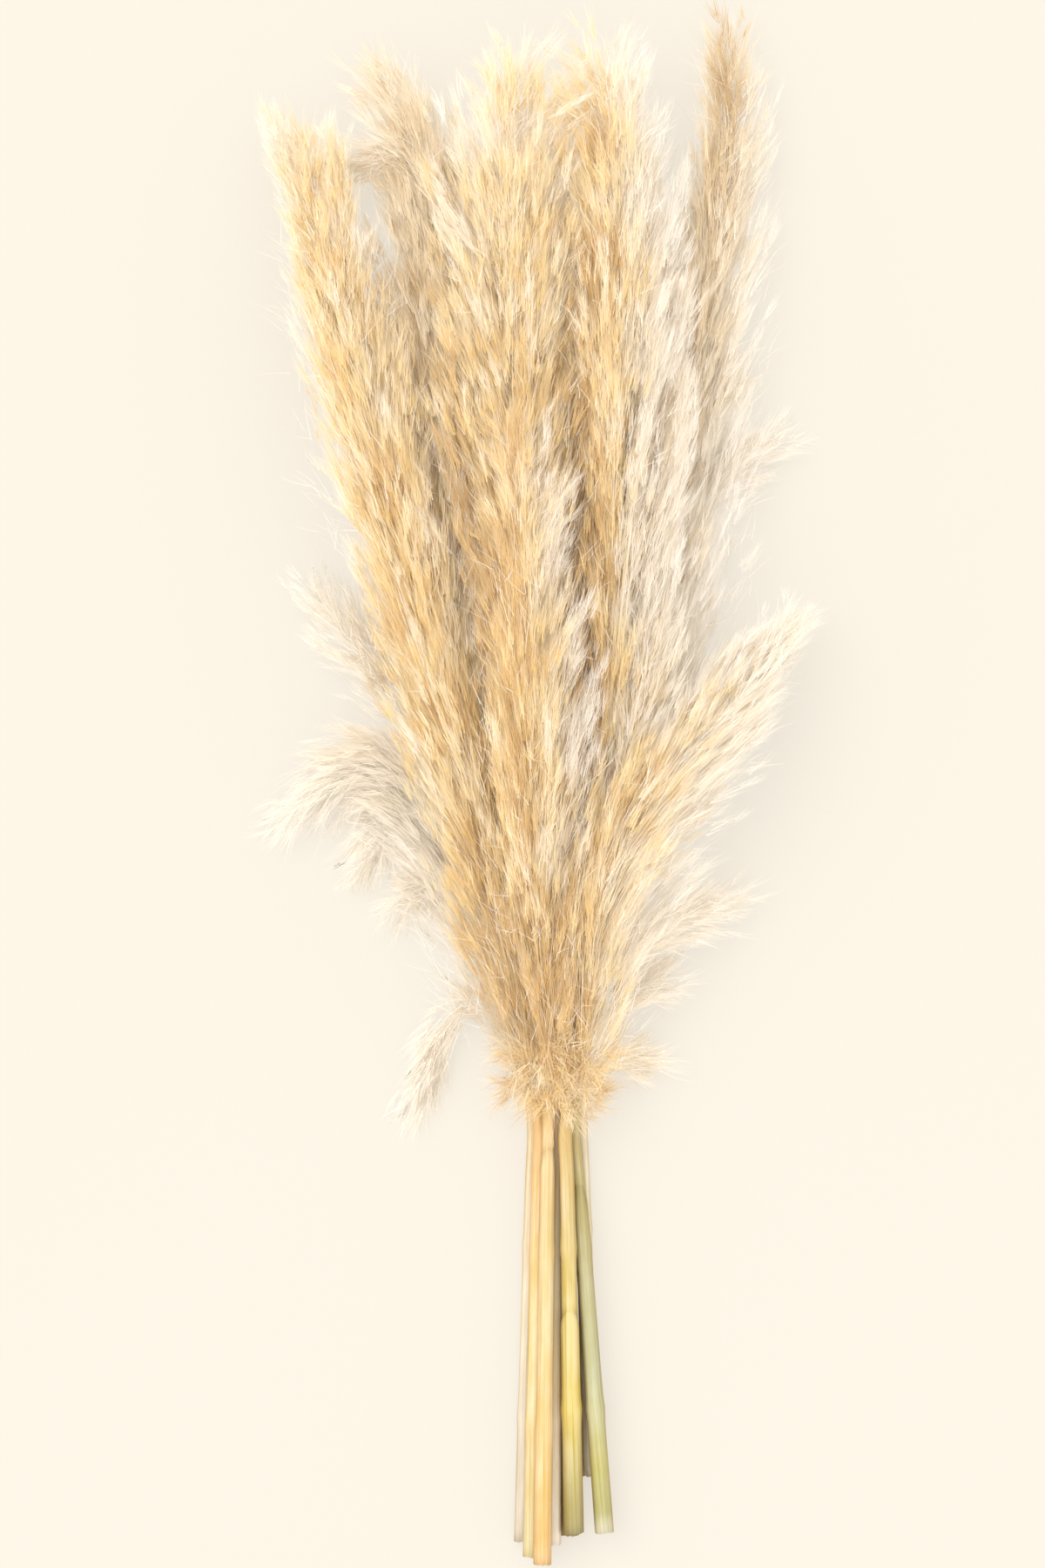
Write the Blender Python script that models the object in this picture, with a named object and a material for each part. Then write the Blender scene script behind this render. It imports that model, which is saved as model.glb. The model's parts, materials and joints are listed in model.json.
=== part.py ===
"""A bundle of pampas grass: nine cut stalks lying together on a flat surface.

Each stalk is a culm, with a plume that stands on its upper end. The bundle lies along Y, cut ends at -Y
and plume tips at +Y, with +Z up and the surface at Z = 0. A plume is a slim core along the stalk's own
line, with pointed locks of spikelets standing out of it all round. Every plume keeps to its own share of
the space between the stalks, so pressed neighbours never cross.
"""

import math
import random
from dataclasses import dataclass

import bmesh
import bpy
import numpy as np
from mathutils import Vector

# Everything is in millimetres until a mesh is made.
MM = 0.001
ORIGIN = (-9.17, 0.33, 0.0)  # the middle of the bundle's box, as the stalks' routes count it

# The culms.
WAIST_Y = -164.0  # where the nine culms lie closest together
STRAIGHT_SHARE = 0.8  # how much of the way to the waist a culm is straight
CULM_SIDES = 8
CUT_RADIUS = 4.5
WAIST_RADIUS = 3.4
TOP_RADIUS = 2.6
SHORTEST_TAPER = 60.0  # a culm takes at least this length above the waist to thin to its top radius
BEND_PITCH = 45.0  # length of culm for each ring above the waist
JOINT_SHARES = (0.30, 0.70)  # where the culm's joints sit, from cut end to waist
JOINT_SWELL = 1.12
JOINT_LENGTH = 4.0
SHEATH_THICKNESS = 0.5  # a dried leaf sheath hugs the culm as far as its slanting mouth
SHEATH_SLANT = 9.0
SHEATH_LIP = 0.6

# A plume's outline.
LEAST_FULLNESS = 0.25
SWELL_RATE, SWELL_START = 8.0, 0.06
BLUNTNESS = 4

# A plume's core.
BUTT_GAP = 0.35  # between a culm's top and its plume's core
CORE_SIDES = 6
CORE_PITCH = 32.0  # length of stalk for each of the core's rings
CORE_SHARE = 0.42  # the core's radius as a share of the plume's
CORE_BASE = 0.1  # the core grows out of the culm's radius over this share of the plume
CORE_TIP = 0.3  # and tapers over this last share of it
CORE_TIP_RADIUS = 1.0
CORE_END = 2.0  # how far short of the tip it stops

# A plume's locks.
LOCK_PITCH = 5.8  # length of stalk for each lock
GOLDEN_ANGLE = math.radians(137.508)
TURN_SPREAD = 0.15
FIRST_LOCK, LAST_LOCK = 4.0, 8.0  # clear of the plume's base and tip
LOCK_WIDTH = 13.5
LOCK_THICKNESS = 4.5
LOCK_ROOT_SHARE = 0.6  # a lock's width at its root, as a share of its widest
LOCK_WIDEST = 0.5  # where along its length a lock is widest
LOCK_BOW = 0.7  # under 1, a lock bows outwards between root and tip
LENGTH_SPREAD = (0.85, 1.12)
REACH_SPREAD = (0.85, 1.10)
TIP_SHORTENING = 0.45  # how much shorter a lock is at the plume's tip than at its base
BASE_LOCK_SHARE = 0.55  # the lowest locks are this share of full length
BASE_STRETCH = 0.15  # and full length is reached at this share of the plume
FORWARD_SHARE = 0.8  # a lock spreads as the plume does this share of its length further on
LEAST_SPREAD = 0.25  # the share of a lock's reach that it has even where the plume is empty
LEAST_WIDTH = 0.6  # and of its width
ROOT_DEPTH = 0.15  # how far from the core's middle a lock starts, as a share of the core's radius

# How neighbours share the space.
CELL_MARGIN = 1.0  # how far inside its own share of the space a plume stays
TIP_MARGIN = 1.3
CULM_CLEARANCE = 4.2  # no plume comes nearer than this to another stalk's line
SETTLE = 1.0  # what hangs this low lies on the surface
SEED = 7


@dataclass
class Stalk:
    """One culm and its plume. The route runs from the cut end, through the waist, to the plume's tip."""

    name: str
    route: list
    plume_from_y: float  # the plume starts where the route passes this
    reach: float  # the plume's radius where it is fullest
    lock_length: float
    plume_colour: tuple
    culm_colour: tuple
    lean: tuple = (0.0, 0.0)  # the locks reach this share further to +side and up
    sheath_share: float = 0.0  # how much of the culm below the waist its sheath covers


STALKS = [
    Stalk(
        "left_low",
        [(-17, -368, 5.1), (-11.7, -164, 4.3), (-18, -118, 9), (-31, -71, 14), (-50, -32, 18),
         (-70, -2, 19), (-90, 8, 18), (-108, 3, 15), (-122, -9, 12)],
        plume_from_y=-150, reach=30, lock_length=56,
        plume_colour=(0.84, 0.75, 0.60), culm_colour=(0.84, 0.76, 0.58), lean=(-0.2, 0.0),
    ),
    Stalk(
        "left_back",
        [(-6.4, -370, 5.1), (-3.9, -164, 4.3), (-6, -126, 7), (-15, -71, 12), (-28, -13, 16),
         (-39, 46, 19), (-48, 105, 20), (-54, 160, 20), (-57, 210, 20), (-60, 256, 21),
         (-65, 297, 21), (-73, 322, 20), (-82, 335, 19)],
        plume_from_y=-96, reach=34, lock_length=72,
        plume_colour=(0.70, 0.56, 0.38), culm_colour=(0.74, 0.62, 0.36),
    ),
    Stalk(
        "centre_back",
        [(6.4, -365, 5.1), (3.9, -164, 4.3), (5, -126, 7), (2, -71, 12), (0, -13, 16),
         (4, 46, 19), (4, 126, 20), (5, 210, 20), (4, 268, 20), (2, 314, 20)],
        plume_from_y=-60, reach=32, lock_length=68,
        plume_colour=(0.76, 0.64, 0.46), culm_colour=(0.56, 0.50, 0.26),
    ),
    Stalk(
        "right_back",
        [(17, -336, 5.1), (11.7, -164, 4.3), (14, -126, 6), (20, -71, 10), (34, -13, 15),
         (48, 46, 19), (61, 126, 20), (69, 210, 20), (78, 273, 20), (84, 316, 19), (82, 349, 19)],
        plume_from_y=-40, reach=31, lock_length=66,
        plume_colour=(0.64, 0.47, 0.27), culm_colour=(0.84, 0.78, 0.52), lean=(0.1, 0.0),
    ),
    Stalk(
        "left",
        [(-12, -374, 13.9), (-8.2, -164, 11.6), (-14, -126, 22), (-23, -71, 33), (-37, -13, 42),
         (-54, 46, 47), (-71, 105, 47), (-87, 160, 45), (-101, 210, 41), (-112, 256, 36),
         (-118, 282, 32), (-122, 302, 28)],
        plume_from_y=-154, reach=40, lock_length=78,
        plume_colour=(0.80, 0.60, 0.34), culm_colour=(0.86, 0.68, 0.36), lean=(-0.1, 0.0),
    ),
    Stalk(
        "centre_mid",
        [(-2, -368, 14.2), (0, -164, 11.6), (0, -126, 19), (-4, -71, 30), (-11, -13, 39),
         (-14, 46, 43), (-17, 126, 46), (-20, 210, 50), (-22, 268, 50), (-23, 312, 48),
         (-21, 338, 46)],
        plume_from_y=-92, reach=38, lock_length=76,
        plume_colour=(0.80, 0.63, 0.40), culm_colour=(0.86, 0.80, 0.66),
    ),
    Stalk(
        "right",
        [(23, -362, 15.6), (8.2, -164, 11.9), (11, -126, 18), (13, -71, 27), (18, -13, 33),
         (25, 46, 42), (26.5, 109, 47), (29, 168, 49), (30, 218, 50), (30, 265, 49),
         (28, 305, 47), (25, 340, 44)],
        plume_from_y=40, reach=36, lock_length=80,
        plume_colour=(0.82, 0.64, 0.38), culm_colour=(0.52, 0.54, 0.30), sheath_share=0.8,
    ),
    Stalk(
        "centre",
        [(-7, -376, 24), (-4.2, -164, 19), (-5, -126, 32), (-8, -71, 50), (-11, -34, 60),
         (-13, 17, 68), (-15, 67, 71), (-16, 109, 71), (-18, 160, 70)],
        plume_from_y=-156, reach=34, lock_length=64,
        plume_colour=(0.82, 0.63, 0.37), culm_colour=(0.84, 0.72, 0.44), sheath_share=0.9,
    ),
    Stalk(
        "right_low",
        [(8, -362, 16.5), (4.4, -164, 19.2), (13, -126, 30), (18, -76, 43), (30, -36, 49),
         (52, -2, 50), (76, 26, 47), (88, 40, 44), (98, 53, 40), (104, 62, 37)],
        plume_from_y=-158, reach=40, lock_length=68,
        plume_colour=(0.84, 0.68, 0.42), culm_colour=(0.66, 0.58, 0.26), lean=(0.3, 0.0),
        sheath_share=0.5,
    ),
]


def smooth_line(route, per_span=20):
    """A Catmull-Rom curve through the route, as an array of close positions, with a straight lower culm."""
    p = np.array(route, float)
    p = np.insert(p, 1, p[0] + STRAIGHT_SHARE * (p[1] - p[0]), axis=0)
    p = np.vstack([2 * p[0] - p[1], p, 2 * p[-1] - p[-2]])
    t = np.linspace(0, 1, per_span, endpoint=False)[:, None]
    spans = [
        0.5 * (2 * b + (c - a) * t + (2 * a - 5 * b + 4 * c - d) * t**2 + (3 * b - a - 3 * c + d) * t**3)
        for a, b, c, d in zip(p, p[1:], p[2:], p[3:])
    ]
    return np.vstack(spans + [p[-2:-1]])


class Line:
    """A stalk's centre line, read by distance from its cut end."""

    def __init__(self, route):
        self.at = smooth_line(route)
        steps = np.linalg.norm(np.diff(self.at, axis=0), axis=1)
        self.distance = np.concatenate([[0], np.cumsum(steps)])
        self.length = float(self.distance[-1])

    def inside(self, s):
        return np.array([np.interp(s, self.distance, self.at[:, k]) for k in range(3)])

    def tangent(self, s, reach=2.0):
        middle = min(max(s, reach), self.length - reach)
        step = self.inside(middle + reach) - self.inside(middle - reach)
        return step / np.linalg.norm(step)

    def position(self, s):
        """The point at s, which runs straight on past the tip."""
        return self.inside(s) + self.tangent(s) * max(s - self.length, 0.0)

    def frame(self, s):
        """The point at s, with the directions sideways and upward across the line."""
        along = self.tangent(s)
        side = np.cross(along, (0, 0, 1))
        side /= np.linalg.norm(side)
        return self.position(s), side, np.cross(side, along)

    def where_y(self, y):
        """The distance at which the line first passes this y."""
        return float(self.distance[int(np.argmax(self.at[:, 1] >= y))])

    def nearest(self, point):
        return self.at[int(np.argmin(((self.at - point) ** 2).sum(1)))]


LINES = {stalk.name: Line(stalk.route) for stalk in STALKS}


def kept_in_cell(name, point, margin):
    """The point, moved back where need be to its stalk's side of every neighbour and above the surface."""
    p = np.array(point, float)
    for _ in range(4):
        own = LINES[name].nearest(p)
        for other, line in LINES.items():
            if other == name:
                continue
            near = line.nearest(p)
            width = np.linalg.norm(own - near)
            away = (own - near) / width
            clear = float(np.dot(p - near, away)) - max(width / 2, CULM_CLEARANCE)
            if clear < margin:
                p += away * (margin - clear)
    if p[2] < SETTLE:
        p[2] = 0.0
    return p


def ring_at(line, s, radius, sides, slant=0.0):
    """A ring of points across the line. A slant sets its points forward on one side and back on the other."""
    ring = []
    for i in range(sides):
        angle = 2 * math.pi * i / sides
        centre, side, up = line.frame(s + slant * math.sin(angle))
        ring.append(centre + radius * (side * math.cos(angle) + up * math.sin(angle)))
    return ring


def skinned(name, rings, collection):
    """One closed solid through the rings of points. A ring of one point is a tip."""
    bm = bmesh.new()
    made = [[bm.verts.new(Vector(p - ORIGIN) * MM) for p in ring] for ring in rings]
    for low, high in zip(made, made[1:]):
        for i in range(len(low)):
            j = (i + 1) % len(low)
            if len(high) == 1:
                bm.faces.new((low[i], low[j], high[0]))
            else:
                bm.faces.new((low[i], low[j], high[j], high[i]))
    bm.faces.new(made[0][::-1])
    if len(made[-1]) > 1:
        bm.faces.new(made[-1])
    bmesh.ops.recalc_face_normals(bm, faces=bm.faces)
    mesh = bpy.data.meshes.new(name)
    bm.to_mesh(mesh)
    bm.free()
    solid = bpy.data.objects.new(name, mesh)
    collection.objects.link(solid)
    return solid


def give_material(obj, colour, roughness):
    material = bpy.data.materials.new(obj.name)
    material.use_nodes = True
    shader = material.node_tree.nodes["Principled BSDF"]
    shader.inputs["Base Color"].default_value = (*colour, 1)
    shader.inputs["Roughness"].default_value = roughness
    shader.inputs["Metallic"].default_value = 0.0
    obj.data.materials.clear()
    obj.data.materials.append(material)


class Culm:
    """The stem: it tapers from cut end to top, swells at its joints and may keep its leaf sheath."""

    def __init__(self, stalk):
        self.stalk = stalk
        self.line = LINES[stalk.name]
        self.waist = self.line.where_y(WAIST_Y)
        self.top = self.line.where_y(stalk.plume_from_y)

    def radius(self, s):
        if s <= self.waist:
            return CUT_RADIUS + (WAIST_RADIUS - CUT_RADIUS) * s / self.waist
        share = (s - self.waist) / max(self.top - self.waist, SHORTEST_TAPER)
        return WAIST_RADIUS + (TOP_RADIUS - WAIST_RADIUS) * min(share, 1.0)

    def stops(self):
        """Where the rings go: distance along the culm, swelling, and slant."""
        yield 0.0, 1.0, 0.0
        for share in JOINT_SHARES:
            joint = share * self.waist
            yield joint - JOINT_LENGTH / 2, 1.0, 0.0
            yield joint, JOINT_SWELL, 0.0
            yield joint + JOINT_LENGTH / 2, 1.0, 0.0
        if self.stalk.sheath_share:
            mouth = self.stalk.sheath_share * self.waist
            yield mouth, 1.0, SHEATH_SLANT
            yield mouth + SHEATH_LIP, 1.0, SHEATH_SLANT
        bends = max(1, round((self.top - self.waist) / BEND_PITCH))
        for i in range(bends + 1):
            yield self.waist + (self.top - self.waist) * i / bends, 1.0, 0.0

    def rings(self):
        mouth = self.stalk.sheath_share * self.waist
        for s, swell, slant in sorted(self.stops()):
            sheath = SHEATH_THICKNESS if mouth and s <= mouth else 0.0
            yield ring_at(self.line, s, self.radius(s) * swell + sheath, CULM_SIDES, slant)

    def build(self, collection):
        culm = skinned("stem_" + self.stalk.name, list(self.rings()), collection)
        give_material(culm, self.stalk.culm_colour, roughness=0.45)
        culm.data.shade_smooth()
        culm.data.set_sharp_from_angle(angle=math.radians(40))


def fullness(u):
    """How full a plume is at u, from 0 at its base to 1 at its tip: quick to swell, then blunt at the end."""
    swelling = 1 - math.exp(-SWELL_RATE * (u + SWELL_START))
    closing = 1 - max(u, 0.0) ** BLUNTNESS
    return LEAST_FULLNESS + (1 - LEAST_FULLNESS) * swelling * closing


def keep_largest_body(mesh):
    """Drops the scraps, and fills the hollows, that joining the locks leaves."""
    bm = bmesh.new()
    bm.from_mesh(mesh)
    unseen = set(bm.faces)
    bodies = []
    while unseen:
        rim = [unseen.pop()]
        body = set(rim)
        while rim:
            near = {face for edge in rim.pop().edges for face in edge.link_faces} & unseen
            unseen -= near
            body |= near
            rim.extend(near)
        bodies.append(body)
    bodies.sort(key=len)
    for body in bodies[:-1]:
        bmesh.ops.delete(bm, geom=list(body), context="FACES")
    bm.to_mesh(mesh)
    bm.free()


class Plume:
    """The flower head: a slim core with locks of spikelets, which sweep out and along it."""

    def __init__(self, stalk, base_radius):
        self.stalk = stalk
        self.line = LINES[stalk.name]
        self.base_radius = base_radius
        self.start = self.line.where_y(stalk.plume_from_y) + BUTT_GAP
        self.length = self.line.length - self.start

    def share(self, s):
        return (s - self.start) / self.length

    def core_radius(self, s):
        u = self.share(s)
        radius = CORE_SHARE * self.stalk.reach * fullness(u)
        radius += (self.base_radius - radius) * max(0.0, 1 - u / CORE_BASE)
        return radius + (CORE_TIP_RADIUS - radius) * max(0.0, 1 - (1 - u) / CORE_TIP)

    def core_rings(self):
        count = round(self.length / CORE_PITCH) + 1
        for s in np.linspace(self.start, self.line.length - CORE_END, count):
            ring = ring_at(self.line, s, self.core_radius(s), CORE_SIDES)
            yield [kept_in_cell(self.stalk.name, p, CELL_MARGIN) for p in ring]

    def lock_length(self, u, rng):
        length = self.stalk.lock_length * rng.uniform(*LENGTH_SPREAD) * (1 - TIP_SHORTENING * u)
        return length * min(1.0, BASE_LOCK_SHARE + (1 - BASE_LOCK_SHARE) * u / BASE_STRETCH)

    def lock_rings(self, s, turn, rng):
        """One pointed lock, which leaves the core at s and points away from it at this turn."""
        name = self.stalk.name
        u = self.share(s)
        length = self.lock_length(u, rng)
        outward = np.array([math.cos(turn), math.sin(turn)])
        end = min(u + FORWARD_SHARE * length / self.length, 1.0)
        spread = LEAST_SPREAD + (1 - LEAST_SPREAD) * fullness(end)
        reach = self.stalk.reach * spread * (1 + outward @ self.stalk.lean) * rng.uniform(*REACH_SPREAD)
        depth = self.core_radius(s) * ROOT_DEPTH
        width = LOCK_WIDTH * (LEAST_WIDTH + (1 - LEAST_WIDTH) * fullness(u))
        for t, share in ((0.0, LOCK_ROOT_SHARE), (LOCK_WIDEST, 1.0)):
            centre, side, up = self.line.frame(s + length * t)
            radial = side * outward[0] + up * outward[1]
            across = up * outward[0] - side * outward[1]
            middle = centre + radial * (depth + (reach - depth) * t**LOCK_BOW)
            middle = kept_in_cell(name, middle, CELL_MARGIN + LOCK_THICKNESS / 2)
            middle[2] = max(middle[2], LOCK_THICKNESS / 2)
            half = across * width * share / 2
            deep = radial * LOCK_THICKNESS / 2
            corners = (middle + half + deep, middle - half + deep, middle - deep)
            yield [kept_in_cell(name, p, CELL_MARGIN) for p in corners]
        centre, side, up = self.line.frame(s + length)
        tip = centre + (side * outward[0] + up * outward[1]) * reach
        yield [kept_in_cell(name, tip, TIP_MARGIN)]

    def build(self, collection):
        rng = random.Random(f"{SEED} {self.stalk.name}")
        core = skinned("plume_" + self.stalk.name, list(self.core_rings()), collection)
        locks = bpy.data.collections.new("locks")
        collection.children.link(locks)
        room = self.length - FIRST_LOCK - LAST_LOCK
        count = round(room / LOCK_PITCH)
        for i in range(count):
            turn = GOLDEN_ANGLE * i + rng.uniform(-TURN_SPREAD, TURN_SPREAD)
            s = self.start + FIRST_LOCK + room * i / count
            skinned(f"lock {i}", list(self.lock_rings(s, turn, rng)), locks)
        joined = core.modifiers.new("locks", "BOOLEAN")
        joined.operation = "UNION"
        joined.operand_type = "COLLECTION"
        joined.collection = locks
        with bpy.context.temp_override(object=core, active_object=core):
            bpy.ops.object.modifier_apply(modifier=joined.name)
        for lock in list(locks.objects):
            bpy.data.meshes.remove(lock.data)
        bpy.data.collections.remove(locks)
        keep_largest_body(core.data)
        give_material(core, self.stalk.plume_colour, roughness=0.9)


for old in list(bpy.data.objects):
    bpy.data.objects.remove(old)
bundle = bpy.context.scene.collection
for stalk in STALKS:
    culm = Culm(stalk)
    culm.build(bundle)
    Plume(stalk, culm.radius(culm.top)).build(bundle)
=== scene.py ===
# %% [markdown]
# # A bundle of pampas grass
# Nine cut and dried stalks of pampas grass lie together on a pale surface, cut ends towards -Y.
# Each stalk is a smooth straw-coloured culm with a tall plume on its end, and a plume is tens of
# thousands of silky hairs that stand on thin, springy branches. This lesson dresses the plain solids of
# the bundle: every culm is rebuilt as a fine tube with joints, sheath and cut end, and every plume is
# grown as real strips of hair, because fluff that is only painted on a solid never gets a soft edge.

import json
import math

import bpy
import numpy as np
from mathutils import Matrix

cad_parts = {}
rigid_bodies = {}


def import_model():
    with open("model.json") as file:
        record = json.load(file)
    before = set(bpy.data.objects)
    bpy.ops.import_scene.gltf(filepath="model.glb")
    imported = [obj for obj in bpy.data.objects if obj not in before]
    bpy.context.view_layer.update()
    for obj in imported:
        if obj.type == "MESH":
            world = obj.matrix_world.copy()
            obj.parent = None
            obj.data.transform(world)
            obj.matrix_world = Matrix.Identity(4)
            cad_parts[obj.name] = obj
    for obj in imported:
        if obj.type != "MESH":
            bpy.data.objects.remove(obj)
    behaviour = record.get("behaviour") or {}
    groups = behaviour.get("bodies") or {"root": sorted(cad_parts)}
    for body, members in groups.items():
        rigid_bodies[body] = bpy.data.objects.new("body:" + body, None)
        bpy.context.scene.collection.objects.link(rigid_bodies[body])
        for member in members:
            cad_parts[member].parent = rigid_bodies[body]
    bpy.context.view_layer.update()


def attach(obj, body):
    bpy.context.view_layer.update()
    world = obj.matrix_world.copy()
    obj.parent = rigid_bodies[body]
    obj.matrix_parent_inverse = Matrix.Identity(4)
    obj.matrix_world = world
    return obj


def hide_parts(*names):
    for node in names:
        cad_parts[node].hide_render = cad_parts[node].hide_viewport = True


for old in list(bpy.data.objects):
    bpy.data.objects.remove(old)
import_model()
MM = 0.001
SEED = 7

# %% [markdown]
# ## Looking straight down
# The bundle lies on its side and is seen from right above, as on a florist's table. The camera stands
# about three lengths away, so that the plumes nearer to it are hardly enlarged. Its sensor is fitted to
# the view's long side, and the lens is worked out from the length of table that has to fit in it.

# %% Camera
CAMERA_HEIGHT = 2.2
SENSOR = 36.0
VIEW_CENTRE = (-0.0075, -0.0003)
VIEW_LENGTH = 0.752  # the length of table in view, at the height of the plumes' middle
MIDDLE_HEIGHT = 0.035

camera = bpy.data.objects.new("camera", bpy.data.cameras.new("camera"))
bpy.context.scene.collection.objects.link(camera)
camera.location = (*VIEW_CENTRE, CAMERA_HEIGHT)
camera.data.sensor_fit = "VERTICAL"
camera.data.sensor_height = SENSOR
camera.data.sensor_width = SENSOR
camera.data.lens = SENSOR * (CAMERA_HEIGHT - MIDDLE_HEIGHT) / VIEW_LENGTH
camera.data.clip_end = 10.0
bpy.context.scene.camera = camera
print("lens, mm:", round(camera.data.lens, 1))

# %% [markdown]
# ## A class for shader sums
# A finish is easier to read as a sum than as a drawing of wires. One small class wraps a socket: adding
# or multiplying two of them adds a Math node behind the scenes, and `node` makes any other node from its
# type, its settings and the values or links of its sockets. Colours go through a Mix node, because a
# Math node would turn them grey.


# %% Shader class
class Wire:
    """An output socket in a material, which can be used in sums."""

    def __init__(self, tree, socket=None):
        self.tree = tree
        self.socket = socket

    def node(self, kind, settings=None, sockets=None, out=0):
        """A new node: its settings first, then the value or the link of each socket."""
        made = self.tree.nodes.new(kind)
        for name, value in (settings or {}).items():
            if name == "stops":
                place_stops(made.color_ramp, value)
            else:
                setattr(made, name, value)
        for name, value in (sockets or {}).items():
            if isinstance(value, Wire):
                self.tree.links.new(value.socket, made.inputs[name])
            else:
                made.inputs[name].default_value = value
        return Wire(self.tree, made.outputs[out] if made.outputs else None)

    def output(self, number):
        """Another output of the node that this one comes from."""
        return Wire(self.tree, self.socket.node.outputs[number])

    def maths(self, operation, first, second=0.0):
        return self.node("ShaderNodeMath", {"operation": operation}, {0: first, 1: second})

    def __add__(self, other):
        return self.maths("ADD", self, other)

    def __radd__(self, other):
        return self.maths("ADD", other, self)

    def __sub__(self, other):
        return self.maths("SUBTRACT", self, other)

    def __rsub__(self, other):
        return self.maths("SUBTRACT", other, self)

    def __mul__(self, other):
        return self.maths("MULTIPLY", self, other)

    def __rmul__(self, other):
        return self.maths("MULTIPLY", other, self)

    def __pow__(self, other):
        return self.maths("POWER", self, other)

    def between(self, low, high):
        """0 below low, 1 above high, and a smooth change between them."""
        settings = {"interpolation_type": "SMOOTHSTEP"}
        return self.node("ShaderNodeMapRange", settings, {"Value": self, "From Min": low, "From Max": high})

    def mix(self, low, high):
        """The colour low where this is 0, and high where it is 1."""
        return self.node("ShaderNodeMix", {"data_type": "RGBA"}, {0: self, 6: low, 7: high}, out=2)

    def ramp(self, stops):
        return self.node("ShaderNodeValToRGB", {"stops": stops}, {0: self})


def place_stops(ramp, stops):
    """Sets a ramp's stops from (position, colour) pairs."""
    while len(ramp.elements) < len(stops):
        ramp.elements.new(1.0)
    for element, (position, colour) in zip(ramp.elements, stops):
        element.position = position
        element.color = (*colour, 1.0)


def new_finish(name):
    """An empty material and a Wire to start from."""
    material = bpy.data.materials.new(name)
    material.use_nodes = True
    material.node_tree.nodes.clear()
    return material, Wire(material.node_tree)


def cover(wire, surface):
    """Makes this shader the material's surface."""
    wire.node("ShaderNodeOutputMaterial", None, {"Surface": surface})


print("sums ready: + - * ** and 1 - mask")

# %% [markdown]
# ## A pale table
# The table is a cream board with a faint mottle. It also glows from below, as a light table does, which
# keeps the shadows round the bundle faint. A plain sheet is enough, since only its top shows.

# %% Table
TABLE_SIZE = 6.0
TABLE_COLOURS = ((0.182, 0.171, 0.151, 1), (0.188, 0.178, 0.159, 1))
TABLE_GLOW = (0.640, 0.598, 0.526, 1)

half = TABLE_SIZE / 2
corners = [(-half, -half, 0), (half, -half, 0), (half, half, 0), (-half, half, 0)]
floor_mesh = bpy.data.meshes.new("table")
floor_mesh.from_pydata(corners, [], [(0, 1, 2, 3)])
floor = bpy.data.objects.new("table", floor_mesh)
bpy.context.scene.collection.objects.link(floor)
board, wire = new_finish("cream board")
place = wire.node("ShaderNodeTexCoord", out=3)
mottle = wire.node("ShaderNodeTexNoise", None, {"Vector": place, "Scale": 1.4, "Detail": 2.0})
cover(wire, wire.node("ShaderNodeBsdfPrincipled", None, {
    "Base Color": mottle.between(0.3, 0.7).mix(*TABLE_COLOURS), "Roughness": 0.9, "Specular IOR Level": 0.1,
    "Emission Color": TABLE_GLOW, "Emission Strength": 1.0}))
floor_mesh.materials.append(board)
print("table, m:", TABLE_SIZE, "square")

# %% [markdown]
# ## Soft light
# Dried grass looks best in very soft light, in which the hairs glow and hardly any shadow falls. A
# bright, even sky does most of the work. One broad lamp from the upper left adds the little shade that
# tells one plume from the next. A lamp alone would make the hair harsh, and a sky alone would make it flat.

# %% Light
SKY_STRENGTH = 1.5
SKY_COLOUR = (1.0, 0.985, 0.955, 1)
LAMP_STRENGTH = 1.5
LAMP_COLOUR = (1.0, 0.97, 0.92)
LAMP_ANGLE = math.radians(50)
LAMP_TILT = (math.radians(-20), math.radians(-26), 0.0)

world = bpy.data.worlds.new("sky")
world.use_nodes = True
bpy.context.scene.world = world
world.node_tree.nodes["Background"].inputs["Color"].default_value = SKY_COLOUR
world.node_tree.nodes["Background"].inputs["Strength"].default_value = SKY_STRENGTH
lamp = bpy.data.objects.new("lamp", bpy.data.lights.new("lamp", "SUN"))
lamp.data.energy = LAMP_STRENGTH
lamp.data.angle = LAMP_ANGLE
lamp.data.color = LAMP_COLOUR
lamp.rotation_euler = LAMP_TILT
bpy.context.scene.collection.objects.link(lamp)
bpy.context.scene.view_settings.view_transform = "Standard"
print("light: sky", SKY_STRENGTH, "and lamp", LAMP_STRENGTH)

# %% [markdown]
# ## How a plume grows
# No two plumes of a bundle are alike: one is full and golden, the next thin, brown and bent. All of them
# still grow by one rule, so each is told in the same few words. This cell holds a plain plume and a plain
# tassel, which is a side branch that hangs out of the bunch on its own, and each stalk names only what
# it does otherwise. A tone is a number from 0, the deep gold of a plume's inside, to 1, its palest cream.

# %% Plain plume
PLAIN_PLUME = dict(
    lean=(0.0, 0.0),  # how much further it spreads towards +X than towards -X, at its base and its tip
    fan=0.0,  # how much wider it spreads at its tip
    blunt=5,  # the higher, the longer it stays full before it ends
    room=(-55.0, 8.0),  # how far past its tip branches may end, in mm
    mingle=(-3.0, -18.0),  # how far it keeps off its neighbours at base and tip, in mm (below 0: mingles)
    pressed=1.0,  # how strongly its hair darkens where a neighbour presses on it
    dark_base=0.22,  # how strongly its hair is darkened with painted shade where it meets a neighbour
    sparse=1.0,  # how far apart its tufts stand
    clump=1.0,  # how loosely the hairs of a tuft hang together
    hair=1.0,  # how long its hairs are
    strands=700,  # how many long silky strands follow its branches
    fade=0.2,  # how much paler its tip is
    pale=(0.0, 0.0, 0.0),  # how much paler it is on its +X, +Y and upper side
    rachis=0.1,  # how much paler its branches are than the hair at its heart
)
PLAIN_TASSEL = {**PLAIN_PLUME, "branch": 34.0, "strands": 30, "sparse": 2.2}
print("words for a plume:", ", ".join(PLAIN_PLUME))

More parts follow.
